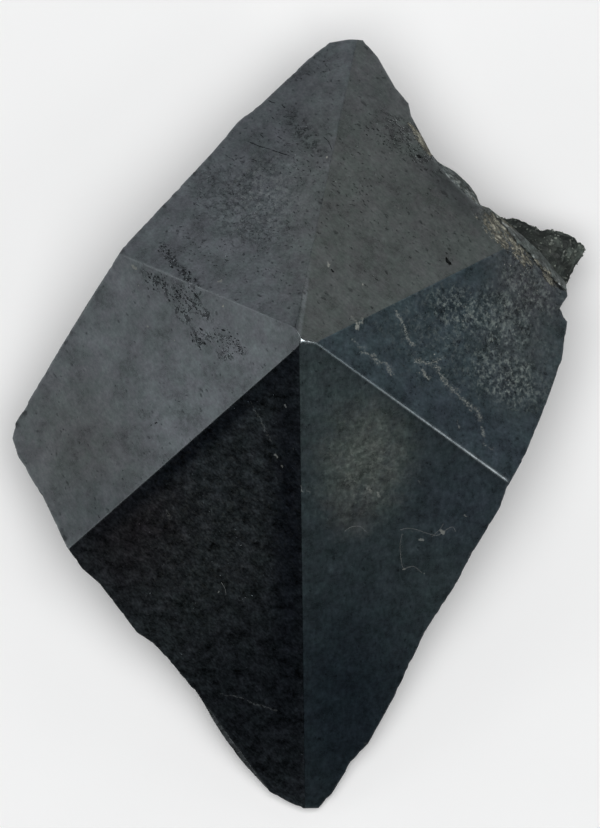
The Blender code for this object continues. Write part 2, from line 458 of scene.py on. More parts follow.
@dataclass(frozen=True)
class Trace:
    """A crumbly line of pale film through points in millimetres in plan."""

    points: tuple[Plan, ...]
    width: float = 0.30
    gaps: float = 0.45
    strength: float = 0.8

    def mask(self, tree: Tree, at: Socket) -> Socket:
        """Lays the line in a material.

        Args:
            tree: The material's tree.
            at: The position in millimetres.

        Returns:
            The socket of the line's mask times its strength.
        """
        parts = [
            use(tree, streak_effect(), Vector=at, Start=(*start, 0), End=(*end, 0),
                Width=self.width, Gaps=self.gaps).outputs[0]
            for start, end in zip(self.points, self.points[1:])
        ]
        return times(tree, highest(tree, parts), self.strength)


def highest(tree: Tree, masks: Sequence[Socket]) -> Socket | float:
    """Gives the largest of some masks.

    Args:
        tree: The tree.
        masks: The masks.

    Returns:
        The largest one's socket, or 0 where there is none.
    """
    top: Socket | float = 0.0
    for number, mask in enumerate(masks):
        top = mask if number == 0 else maths(tree, "MAXIMUM", top, mask)
    return top


def scaled(tree: Tree, colour: Socket | Colour, factor: Socket) -> Socket:
    """Gives a colour times a number."""
    return put(tree, "ShaderNodeVectorMath", {0: colour, 3: factor}, operation="SCALE").outputs[0]


class Sheet:
    """A material under construction: its tree, its shader and the position in millimetres."""

    def __init__(self, name: str) -> None:
        """Opens the material.

        Args:
            name: The material's name.
        """
        self.material = bpy.data.materials.new(name)
        self.material.use_nodes = True
        self.tree = self.material.node_tree
        self.shader = self.tree.nodes["Principled BSDF"]
        place = put(self.tree, "ShaderNodeTexCoord").outputs["Object"]
        self.at = arrows(self.tree, "MULTIPLY", place, (1 / MM, 1 / MM, 1 / MM))

    def mark(self, name: str) -> Socket:
        """Reads a number kept on the mesh."""
        return put(self.tree, "ShaderNodeAttribute", attribute_name=name).outputs["Fac"]

    def finish(self, colour: Socket, rough: Socket | float, height: Socket | None = None,
               metal: Socket | float = 0.0) -> Material:
        """Feeds the shader.

        Args:
            colour: The base colour.
            rough: The roughness.
            height: The relief in millimetres, if there is any.
            metal: How metallic the surface is.

        Returns:
            The finished material.
        """
        tree, shader = self.tree, self.shader
        feed(tree, shader, {"Base Color": colour, "Roughness": rough, "Metallic": metal})
        if height is not None:
            bump = put(tree, "ShaderNodeBump", {"Strength": 1.0, "Distance": MM, "Height": height})
            feed(tree, shader, {"Normal": bump.outputs[0]})
        return self.material


def combed(tree: Tree, at: Socket, turn: float, scale: tuple[float, float, float]) -> Socket:
    """Lays a pattern along one direction, so that it is drawn out that way.

    Args:
        tree: The material's tree.
        at: The position in millimetres.
        turn: The direction in plan, in degrees.
        scale: How much the pattern is packed along it, across it and upwards.

    Returns:
        The socket of the new position.
    """
    return arrows(tree, "MULTIPLY", turned_back(tree, at, math.radians(turn)), scale)


@dataclass(frozen=True)
class HematiteFinish:
    """The dark submetallic surface of one face, with what lies on it.

    Tones are linear. Sizes are millimetres and turns degrees, counter-clockwise in plan.
    """

    name: str
    tone: Colour
    rough: float = 0.30
    metal: float = 0.97
    cloud_size: float = 3.0
    cloud_depth: float = 0.07
    grain_turn: float = -33.0
    grain_length: float = 0.9
    grain_width: float = 0.22
    grain_depth: float = 0.05
    grain_height: float = 0.004
    dash_stretch: float = 2.6
    dash_share: float = 0.22
    dash_dark: float = 0.5
    pit_depth: float = 0.010
    fleck_share: float = 0.02
    etch_light: float = 1.0
    hackle: float = 0.0
    wear: float = 1.0
    tints_and_painted_light: tuple[Patch, ...] = ()
    etched: tuple[Patch, ...] = ()
    pitted: tuple[Patch, ...] = ()
    ochre: tuple[Patch, ...] = ()
    traces: tuple[Trace, ...] = ()

    # The colour of the painted shade in pits, hollows and low crumbs.
    dark: Colour = (0.012, 0.013, 0.015)
    # The lighter tone of worn ridges and rims, which also paints their highlight.
    worn_highlight: Colour = (0.42, 0.46, 0.48)
    film: Colour = (0.24, 0.245, 0.22)
    crumb: Colour = (0.17, 0.175, 0.15)
    polish: float = 0.17

    def material(self) -> Material:
        """Builds the material.

        Returns:
            The material.
        """
        sheet = Sheet(self.name)
        tree, at = sheet.tree, sheet.at
        mottling = use(tree, mottling_effect(), Vector=at, Size=self.cloud_size, Depth=self.cloud_depth).outputs
        grain = use(
            tree, grain_effect(), Vector=at, Turn=math.radians(self.grain_turn), Length=self.grain_length,
            Width=self.grain_width, Depth=self.grain_depth,
        ).outputs
        colour: Socket | Colour = self.tone
        # The tints paint changes of the face's own tone and also painted light and shade across the face.
        for tint in self.tints_and_painted_light:
            colour = blended(tree, tint.mask(tree, at), colour, tint.tone)
        colour = blended(tree, 1, colour, mottling["Tint"], "MULTIPLY")
        colour = scaled(tree, colour, times(tree, mottling["Factor"], grain["Factor"]))

        etch = highest(tree, [area.mask(tree, at) for area in self.etched])
        turned = put(tree, "ShaderNodeVectorRotate",
                     {"Vector": at, "Axis": (0.4, 0.5, 0.77), "Angle": 0.9}).outputs[0]
        crumbs = clouds(tree, turned, 2.1, 6, 0.82)
        pale = times(tree, ranged(tree, crumbs, 0.47, 0.64, 0, self.etch_light), etch)
        # Low crumbs are darkened towards the dark colour: painted shade in the hollows between them.
        sunk = times(tree, ranged(tree, crumbs, 0.50, 0.40), etch)
        colour = blended(tree, pale, colour, self.crumb)
        colour = blended(tree, times(tree, sunk, 0.4), colour, self.dark)
        shaded_pit_bands = highest(tree, [area.mask(tree, at) for area in self.pitted])
        worms = clouds(tree, combed(tree, at, self.grain_turn, (1.3, 2.3, 2.3)), 1, 3, 0.72)
        shaded_pit_bands = times(tree, ranged(tree, worms, 0.51, 0.58), shaded_pit_bands)

        dashes = [
            use(tree, pitting_effect(), Vector=at, Turn=math.radians(self.grain_turn), Stretch=self.dash_stretch,
                Spacing=spacing, Share=self.dash_share * share, Radius=0.26, Clump=0.8).outputs[0]
            for spacing, share in ((0.30, 1), (0.52, 0.6))
        ]
        pits = highest(tree, dashes)
        hollow = sheet.mark("hollow")
        # Pits, dashes, pit bands and the mesh's hollows are darkened towards the dark colour: painted shade in these
        # recesses, with some real dirt.
        dim = highest(tree, [times(tree, pits, self.dash_dark), times(tree, hollow, 0.85),
                             times(tree, shaded_pit_bands, 0.62)])
        colour = blended(tree, dim, colour, self.dark)

        lines = highest(tree, [trace.mask(tree, at) for trace in self.traces])
        flecks = use(tree, pitting_effect(), Vector=at, Spacing=0.8, Share=self.fleck_share,
                     Radius=0.10, Clump=0.5).outputs[0]
        film = maths(tree, "MAXIMUM", lines, flecks)
        colour = blended(tree, film, colour, self.film)
        # Worn ridges and rims are lightened and polished: real wear, and with it a painted highlight along the
        # ridges.
        worn_highlight = use(tree, wear_highlight_effect(), Vector=at, Edge=sheet.mark("edge"), Uneven=0.5).outputs[0]
        worn_highlight = times(tree, worn_highlight, self.wear)
        colour = blended(tree, worn_highlight, colour, self.worn_highlight)

        cover = highest(tree, [area.mask(tree, at) for area in self.ochre])
        ochre = use(tree, ochre_effect(), Vector=combed(tree, at, -47, (0.5, 1.25, 1)), Cover=cover).outputs
        colour = blended(tree, ochre["Mask"], colour, ochre["Colour"])

        dull = maths(tree, "MAXIMUM", maths(tree, "MAXIMUM", film, ochre["Mask"]), times(tree, pale, 0.7))
        rough = maths(tree, "MULTIPLY_ADD", minus(tree, mottling["Value"], 0.5), 0.3, self.rough)
        rough = maths(tree, "MAXIMUM", rough, times(tree, maths(tree, "MAXIMUM", dull, hollow), 0.75))
        rough = ranged(tree, worn_highlight, 0, 1, rough, self.polish)
        metal = times(tree, minus(tree, 1, dull), self.metal)

        height = times(tree, grain["Value"], self.grain_height)
        height = maths(tree, "MULTIPLY_ADD", pits, -self.pit_depth, height)
        height = maths(tree, "MULTIPLY_ADD", shaded_pit_bands, -0.03, height)
        height = maths(tree, "MULTIPLY_ADD", times(tree, crumbs, etch), 0.02, height)
        height = maths(tree, "MULTIPLY_ADD", times(tree, ochre["Value"], ochre["Mask"]), 0.06, height)
        if self.hackle:
            chips = put(tree, "ShaderNodeTexVoronoi", {"Vector": at, "Scale": 1.6}, feature="F1").outputs[0]
            splinters = clouds(tree, arrows(tree, "MULTIPLY", at, (1, 1, 2.4)), 1.5, 6, 0.6)
            height = maths(tree, "MULTIPLY_ADD", chips, self.hackle, height)
            height = maths(tree, "MULTIPLY_ADD", splinters, 2 * self.hackle, height)
        return sheet.finish(colour, rough, height, metal)


@dataclass(frozen=True)
class RockFinish:
    """The greenish granular host rock."""

    name: str = "granular_rock"
    deep: Colour = (0.020, 0.026, 0.024)
    body: Colour = (0.066, 0.080, 0.070)
    # The colour of the painted glints on the grains.
    pale: Colour = (0.15, 0.17, 0.15)
    painted_shadows: tuple[Patch, ...] = ()
    ochre: tuple[Patch, ...] = ()

    def material(self) -> Material:
        """Builds the material.

        Returns:
            The material.
        """
        sheet = Sheet(self.name)
        tree, at = sheet.tree, sheet.at
        cells = put(tree, "ShaderNodeTexVoronoi", {"Vector": at, "Scale": 1.25}, feature="F1")
        chance = put(tree, "ShaderNodeSeparateColor", {0: cells.outputs["Color"]}).outputs
        mottling = use(tree, mottling_effect(), Vector=at, Size=1.6, Depth=0.2).outputs
        colour = blended(tree, ranged(tree, mottling["Value"], 0.42, 0.58), self.deep, self.body)
        colour = scaled(tree, colour, ranged(tree, chance[0], 0, 1, 0.65, 1.4))
        # Some grains are lightened towards the pale colour: painted glints.
        painted_glint = times(tree, ranged(tree, chance[1], 0.8, 0.95), 0.45)
        colour = blended(tree, painted_glint, colour, self.pale)
        # Painted shadow on the rock beside the crystal's chipped edge.
        for patch in self.painted_shadows:
            colour = blended(tree, patch.mask(tree, at), colour, patch.tone)
        cover = highest(tree, [area.mask(tree, at) for area in self.ochre])
        ochre = use(tree, ochre_effect(), Vector=at, Cover=cover).outputs
        colour = blended(tree, ochre["Mask"], colour, ochre["Colour"])
        rough = ranged(tree, chance[2], 0, 1, 0.42, 0.9)
        height = times(tree, cells.outputs["Distance"], -0.16)
        height = maths(tree, "MULTIPLY_ADD", clouds(tree, at, 3, 5, 0.65), 0.14, height)
        return sheet.finish(colour, rough, height)


@dataclass(frozen=True)
class CrumbFinish:
    """Loose or grown-on grains whose tone runs from a dull to a pale colour, grain by grain."""

    name: str
    dull: Colour
    pale: Colour
    rough: float = 0.7

    def material(self) -> Material:
        """Builds the material.

        Returns:
            The material.
        """
        sheet = Sheet(self.name)
        tree, at = sheet.tree, sheet.at
        colour = blended(tree, sheet.mark("tone"), self.dull, self.pale)
        mottling = use(tree, mottling_effect(), Vector=at, Size=0.5, Depth=0.15).outputs
        colour = scaled(tree, colour, mottling["Factor"])
        rough = maths(tree, "MULTIPLY_ADD", minus(tree, mottling["Value"], 0.5), 0.4, self.rough)
        return sheet.finish(colour, rough, times(tree, mottling["Value"], 0.02))


@dataclass(frozen=True)
class FloorFinish:
    """The plain pale studio floor, which throws little light back on the crystal."""

    name: str = "studio_floor"
    tone: Colour = (0.93, 0.93, 0.93)
    unlit: Colour = (0.10, 0.10, 0.10)

    def material(self) -> Material:
        """Builds the material.

        Returns:
            The material.
        """
        sheet = Sheet(self.name)
        tree = sheet.tree
        seen = put(tree, "ShaderNodeLightPath").outputs["Is Camera Ray"]
        faint = maths(tree, "MULTIPLY_ADD", clouds(tree, sheet.at, 0.05, 2), 0.04, 0.98)
        colour = blended(tree, seen, self.unlit, scaled(tree, self.tone, faint))
        return sheet.finish(colour, 0.9)


# ---- mesh helpers
def add_object(name: str, mesh: bpy.types.Mesh) -> Thing:
    """Puts a mesh in the scene as an object at the origin.

    Args:
        name: The object's name.
        mesh: Its mesh, already in place.

    Returns:
        The object.
    """
    made = bpy.data.objects.new(name, mesh)
    bpy.context.scene.collection.objects.link(made)
    return made


def set_down(name: str, skin: Skin) -> Thing:
    """Turns a worked mesh into an object at the origin.

    Args:
        name: The object's name, and its mesh's.
        skin: The worked mesh, which is freed.

    Returns:
        The object.
    """
    mesh = bpy.data.meshes.new(name)
    skin.to_mesh(mesh)
    skin.free()
    return add_object(name, mesh)


def in_plan(points: Sequence[Vector]) -> kdtree.KDTree:
    """Sorts points in plan, so that the nearest is found fast.

    Args:
        points: The points.

    Returns:
        The tree, which gives their numbers.
    """
    tree = kdtree.KDTree(len(points))
    for number, at in enumerate(points):
        tree.insert((at.x, at.y, 0), number)
    tree.balance()
    return tree


def add_face(skin: Skin, corners: Sequence[Vert], up: int) -> bmesh.types.BMFace:
    """Joins corners into a face.

    Args:
        skin: The mesh.
        corners: The corners in order, either way round.
        up: 1 for a face that looks up, or -1 for one that looks down.

    Returns:
        The face.
    """
    made = skin.faces.new(corners)
    made.normal_update()
    if made.normal.z * up < 0:
        made.normal_flip()
    return made


def smoothed(skin: Skin, verts: Sequence[Vert]) -> None:
    """Moves vertices half of the way to the middle of their neighbours."""
    bmesh.ops.smooth_vert(skin, verts=verts, factor=0.5, use_axis_x=True, use_axis_y=True, use_axis_z=True)


def merged_copy(node: Thing) -> Skin:
    """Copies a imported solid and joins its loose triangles.

    Args:
        node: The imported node.

    Returns:
        The closed copy.
    """
    skin = bmesh.new()
    skin.from_mesh(node.data)
    bmesh.ops.remove_doubles(skin, verts=skin.verts, dist=WELD * MM)
    bmesh.ops.dissolve_degenerate(skin, edges=skin.edges, dist=WELD / 2 * MM)
    skin.normal_update()
    return skin


def divide_long(skin: Skin, limits: dict[bool, float], rounds: int = 12) -> None:
    """Halves edges, the longest first, until none is over its limit. The faces are triangles.

    Args:
        skin: The mesh.
        limits: The longest edge allowed, in metres, by whether the edge is free on one side.
        rounds: The most passes.
    """
    for _ in range(rounds):
        long_edges = [e for e in skin.edges if e.calc_length() > limits[e.is_boundary]]
        if not long_edges:
            return
        for edge in sorted(long_edges, key=lambda e: -e.calc_length()):
            ends, sides = set(edge.verts), list(edge.link_faces)
            middle = bmesh.utils.edge_split(edge, edge.verts[0], 0.5)[1]
            for face in sides:
                corner = next(v for v in face.verts if v is not middle and v not in ends)
                bmesh.utils.face_split(face, middle, corner)


def eased(value: float, low: float, high: float) -> float:
    """Eases from 0 to 1 as the value goes from low to high.

    Args:
        value: The value.
        low: Where the result leaves 0.
        high: Where it reaches 1.

    Returns:
        The eased share.
    """
    share = min(1.0, max(0.0, (value - low) / (high - low)))
    return share * share * (3.0 - 2.0 * share)


# ---- the crystal
class Face(Enum):
    """The surfaces of the crystal, in the order of its materials."""

    LEFT = 0
    LOWER_LEFT = 1
    LOWER_RIGHT = 2
    RIGHT = 3
    UPPER_RIGHT = 4
    UPPER_LEFT = 5
    CHIPPED_EDGE = 6
    BREAK = 7
    UNDERSIDE = 8


@dataclass(frozen=True)
class Plane:
    """One planar face: it falls away towards its bearing at its slope, in degrees."""

    face: Face
    bearing: float
    slope: float
    through: tuple[float, float, float]

    def normal(self) -> Vector:
        """The face's outward direction."""
        turn, lean = math.radians(self.bearing), math.radians(self.slope)
        return Vector((math.sin(lean) * math.cos(turn), math.sin(lean) * math.sin(turn), math.cos(lean)))

    def height(self, x: float, y: float) -> float:
        """Gives the face's height over a point in plan, all in millimetres.

        Args:
            x: The point's first coordinate.
            y: Its second.

        Returns:
            The height.
        """
        turn = math.radians(self.bearing)
        out = (x - self.through[0]) * math.cos(turn) + (y - self.through[1]) * math.sin(turn)
        return self.through[2] - out * math.tan(math.radians(self.slope))


@dataclass(frozen=True)
class Ridge:
    """How a ridge is worn and where it carries a painted highlight. Widths, in millimetres, are half of its rounding
    at its upper end and its lower.

    Rub, from 0 to 1, is how bare it is worn, and so how strong its painted highlight is, at its upper end,
    halfway and at its lower end. Near is how soon after its upper end its own rounding begins, where that is sooner
    than usual.
    """

    width: tuple[float, float]
    rub_highlight: tuple[float, float, float] = (0.0, 0.0, 0.0)
    near: float = 0.0

    def width_at(self, share: float) -> float:
        """Half of the rounding at a share of the way down, in millimetres."""
        return self.width[0] + (self.width[1] - self.width[0]) * share

    def rub_highlight_at(self, share: float) -> float:
        """How bare the ridge is worn, and so how strong its painted highlight is, at a share of the way down."""
        top, middle, low = self.rub_highlight
        return top + (middle - top) * share * 2 if share < 0.5 else middle + (low - middle) * (share * 2 - 1)


TIP = (-0.07, 7.10)
TIP_HEIGHT = 28.9
PLANES = (
    Plane(Face.LEFT, 189.4, 36.0, (*TIP, TIP_HEIGHT)),
    Plane(Face.LOWER_LEFT, 249.9, 35.1, (*TIP, TIP_HEIGHT)),
    Plane(Face.LOWER_RIGHT, 295.1, 35.8, (*TIP, TIP_HEIGHT)),
    Plane(Face.RIGHT, 357.2, 36.8, (*TIP, TIP_HEIGHT + 0.83)),
    Plane(Face.UPPER_RIGHT, 45.2, 34.5, (*TIP, TIP_HEIGHT + 0.59)),
    Plane(Face.UPPER_LEFT, 119.5, 37.7, (*TIP, TIP_HEIGHT + 1.17)),
    Plane(Face.CHIPPED_EDGE, 32.0, 60.0, (17.28, 19.15, 15.2)),
)
NORMALS = {plane.face: plane.normal() for plane in PLANES}
WORN_PLANES = (
    *PLANES[:-1],
    Plane(Face.CHIPPED_EDGE, 41.9, 60.0, (17.01, 19.48, 15.18)),
    Plane(Face.CHIPPED_EDGE, 26.4, 60.0, (19.52, 16.46, 15.44)),
)
CHIP_SHIFT = 0.95
CHIP_END = 21.0
PLAIN_RIDGE = Ridge((0.10, 0.10), (0.3, 0.3, 0.3))
RIDGES = {
    frozenset((Face.LEFT, Face.LOWER_LEFT)): Ridge((0.10, 0.12), (0.10, 0.20, 0.30)),
    frozenset((Face.LOWER_LEFT, Face.LOWER_RIGHT)): Ridge((0.07, 0.07)),
    frozenset((Face.LOWER_RIGHT, Face.RIGHT)): Ridge((0.20, 0.23), (0.22, 0.45, 0.9)),
    frozenset((Face.RIGHT, Face.UPPER_RIGHT)): Ridge((0.16, 0.24)),
    frozenset((Face.UPPER_RIGHT, Face.UPPER_LEFT)): Ridge((0.10, 0.14)),
    frozenset((Face.UPPER_LEFT, Face.LEFT)): Ridge((0.10, 0.15), (0.0, 0.22, 0.22)),
    frozenset((Face.LEFT, Face.LOWER_RIGHT)): Ridge((0.26, 0.10), (0.9, 0.3, 0.1)),
    frozenset((Face.UPPER_RIGHT, Face.LOWER_RIGHT)): Ridge((0.38, 0.18), (1.0, 0.8, 0.4)),
    frozenset((Face.UPPER_RIGHT, Face.LEFT)): Ridge((0.07, 0.06), near=0.20),
}


def top_at(x: float, y: float) -> tuple[float, Face]:
    """Finds which face covers a point in plan.

    Args:
        x: The point's first coordinate in millimetres.
        y: Its second.

    Returns:
        The height there in millimetres, and the face.
    """
    planes = WORN_PLANES if y < CHIP_END else PLANES[:-1]
    return min(((plane.height(x, y), plane.face) for plane in planes), key=lambda found: found[0])


def encloses(outline: Sequence[Vector], at: Vector) -> bool:
    """Says whether a closed outline goes round a point in plan.

    Args:
        outline: The outline's corners in order.
        at: The point.

    Returns:
        Whether the point is inside.
    """
    inside = False
    for a, b in zip(outline, [*outline[1:], outline[0]]):
        if (a.y > at.y) != (b.y > at.y) and at.x < (b.x - a.x) * (at.y - a.y) / (b.y - a.y) + a.x:
            inside = not inside
    return inside


def untangle(loop: list[Vert], moves: list[Vector]) -> None:
    """Takes back moves that made a closed loop cross itself in plan.

    Args:
        loop: The loop's vertices in order, moved.
        moves: How far each was moved.
    """
    count = len(loop)
    for _ in range(6):
        crossed = set()
        for i in range(count):
            a, b = loop[i].co.xy, loop[(i + 1) % count].co.xy
            for j in range(i + 2, i + 9):
                c, d = loop[j % count].co.xy, loop[(j + 1) % count].co.xy
                if intersect_line_line_2d(a, b, c, d):
                    crossed.update(k % count for k in range(i, j + 2))
        for k in crossed:
            loop[k].co -= moves[k]
            moves[k] = Vector()
        if not crossed:
            return


class Kind(Enum):
    """What a point of the pyramid's surface is part of."""

    RIM = 0
    FLAT = 1
    RIDGE = 2
    RELIEF = 3
    SIDE = 4


@dataclass(frozen=True)
class PitField:
    """Pits strewn along a band in plan, in millimetres. Turns and their sway are in degrees."""

    start: Plan
    end: Plan
    half_width: float
    count: int
    sizes: tuple[float, float]
    seed: int
    turn: float = -33.0
    stretch: float = 1.5
    clump: float = 0.0
    depth: float = 0.9
    shade: float = 1.0
    sway: float = 16.0
    patience: int = 12

    def pits(self) -> Iterable["Dent"]:
        """Draws the pits.

        Returns:
            The pits one by one.
        """
        chance = random.Random(self.seed)
        start, end = Vector(self.start), Vector(self.end)
        across = (end - start).orthogonal().normalized()
        made = tries = 0
        while made < self.count and tries < self.count * self.patience:
            tries += 1
            at = start.lerp(end, chance.random()) + across * chance.gauss(0, self.half_width * 0.5)
            size = self.sizes[0] + (self.sizes[1] - self.sizes[0]) * chance.random() ** 2.2
            turn = self.turn + chance.gauss(0, self.sway)
            if noise.noise(Vector((at.x * 0.9, at.y * 0.9, self.seed))) * 2 < self.clump - 0.4:
                continue
            made += 1
            long_way = size * (1 + (self.stretch - 1) * chance.random() * 1.6)
            yield Dent((at.x, at.y), (long_way, size), turn, size * self.depth, self.shade)


@dataclass(frozen=True)
class Scratch:
    """A fine open scratch in a face through points in plan, in millimetres."""

    points: tuple[Plan, ...]
    width: float = 0.07
    depth: float = 0.06
    step: float = 0.22


@dataclass(frozen=True)
class Dent:
    """One hollow in a face: its centre, half sizes, turn in degrees, depth and darkness, in millimetres."""

    centre: Plan
    radii: Plan
    turn: float
    depth: float
    shade: float = 1.0


class Room:
    """Keeps points in plan apart."""

    def __init__(self, cell: float = 0.5) -> None:
        """Opens an empty sheet with cells of one size in millimetres."""
        self.cell = cell
        self.taken: dict[tuple[int, int], list[tuple[Vector, float]]] = {}

    def _cell(self, at: Vector) -> tuple[int, int]:
        """The cell that holds a point."""
        return math.floor(at.x / self.cell), math.floor(at.y / self.cell)

    def take(self, at: Vector, reach: float) -> None:
        """Marks a disc as taken.

        Args:
            at: Its centre.
            reach: Its radius.
        """
        self.taken.setdefault(self._cell(at), []).append((at, reach))

    def free(self, at: Vector, reach: float) -> bool:
        """Says whether a disc overlaps no other.

        Args:
            at: Its centre.
            reach: Its radius.

        Returns:
            Whether there is room.
        """
        col, row = self._cell(at)
        span = math.ceil((reach + 0.6) / self.cell)
        for i in range(col - span, col + span + 1):
            for j in range(row - span, row + span + 1):
                for other, size in self.taken.get((i, j), ()):
                    if (other - at).length_squared < (size + reach) ** 2:
                        return False
        return True


@dataclass
class Layout:
    """The points of the pyramid's surface in plan, before they are joined into triangles."""

    points: list[Vector] = field(default_factory=list)
    drops: list[float] = field(default_factory=list)
    kinds: list[Kind] = field(default_factory=list)
    hollows: list[float] = field(default_factory=list)
    rub_highlights: list[float] = field(default_factory=list)
    edges: list[tuple[int, int]] = field(default_factory=list)
    room: Room = field(default_factory=Room)

    def add(self, at: Vector, kind: Kind, drop: float = 0.0, hollow: float = 0.0, rub_highlight: float = 0.0) -> int:
        """Adds a point.

        Args:
            at: Its place in plan, in millimetres.
            kind: What it is part of.
            drop: How far it lies under its face.
            hollow: How shut in it is, from 0 to 1.
            rub_highlight: How bare it is worn, from 0 to 1, which also sets how strong its painted highlight is.

        Returns:
            Its number.
        """
        self.points.append(Vector((at.x, at.y)))
        self.drops.append(drop)
        self.kinds.append(kind)
        self.hollows.append(hollow)
        self.rub_highlights.append(rub_highlight)
        return len(self.points) - 1

    def line(self, stops: Sequence[int]) -> None:
        """Joins points by edges that the triangles keep."""
        self.edges.extend(zip(stops, stops[1:]))


PIT_FIELDS = (
    PitField((-13.5, 13.4), (-12.3, 12.2), 0.8, 90, (0.045, 0.1), 11, turn=-50, stretch=2.2),
    PitField((-11.2, 14.8), (-9, 11.4), 0.5, 170, (0.04, 0.1), 12, turn=-50, stretch=2.2),
    PitField((-10.9, 12.1), (-9.4, 9.6), 0.65, 170, (0.045, 0.105), 24, turn=-60, stretch=2.2),
    PitField((-9.3, 8.5), (-8.3, 7.2), 0.7, 100, (0.04, 0.1), 25, turn=-50, stretch=2.2),
    PitField((-7.9, 8.4), (-4.9, 6.8), 0.65, 190, (0.04, 0.1), 26, turn=-30, stretch=2.2),
    PitField((-12.4, 16.1), (-11.2, 14.5), 0.45, 110, (0.035, 0.085), 13, turn=-60, stretch=2.2),
    PitField((-23, -2), (-2, 4), 6, 160, (0.025, 0.05), 14, stretch=2.2, shade=0.4),
    PitField((-8.5, 22.5), (2, 17.5), 3, 460, (0.025, 0.055), 15, stretch=3.6, clump=0.25, shade=0.5),
    PitField((-3, 27.5), (5.5, 19), 2.6, 380, (0.025, 0.06), 16, stretch=3.4, clump=0.25, shade=0.55),
    PitField((-10.5, 17.5), (-1, 12), 3, 240, (0.025, 0.05), 17, stretch=2.8, shade=0.4),
    PitField((0.5, 32), (8.5, 22), 3, 130, (0.025, 0.055), 18, stretch=3.2, shade=0.4),
    PitField((5, 27), (11.5, 23.2), 1, 190, (0.03, 0.075), 19, stretch=2.6, clump=0.2, shade=0.7),
    PitField((4.5, 20), (15.5, 16.5), 4.5, 240, (0.025, 0.05), 20, stretch=3.4, shade=0.35),
    PitField((9, 6), (21, 6.5), 3.6, 260, (0.03, 0.065), 21, turn=0, stretch=2, clump=0.25, shade=0.6),
    PitField((-14, -8), (-3, -14), 6, 120, (0.025, 0.05), 22, shade=0.4),
    PitField((2, -6), (9, -12), 5, 40, (0.025, 0.05), 23, turn=-80, shade=0.4),
)
SCRATCHES = (
    Scratch(((-4.75, 25.55), (-4.3, 25.35), (-3.5, 25), (-2.9, 24.85), (-2.1, 24.55), (-1, 24.2))),
    Scratch(((-2.9, 29.25), (-2.5, 29.05), (-2.1, 28.95)), 0.09, 0.07),
    Scratch(((-9.7, 20.1), (-8.9, 19.6)), 0.05, 0.04),
    Scratch(((2, 26), (2.6, 25.4), (2.9, 24.6)), 0.06, 0.05),
)
DENTS = (
    Dent((13.3, 14.65), (0.42, 0.2), -62, 0.34),
    Dent((10.7, 24.15), (0.34, 0.14), -28, 0.22),
    Dent((2.9, 13.8), (0.2, 0.1), -50, 0.14),
    Dent((-12.9, 0.25), (0.17, 0.1), 10, 0.1),
    Dent((-13.3, 0.05), (0.1, 0.06), 40, 0.07),
)


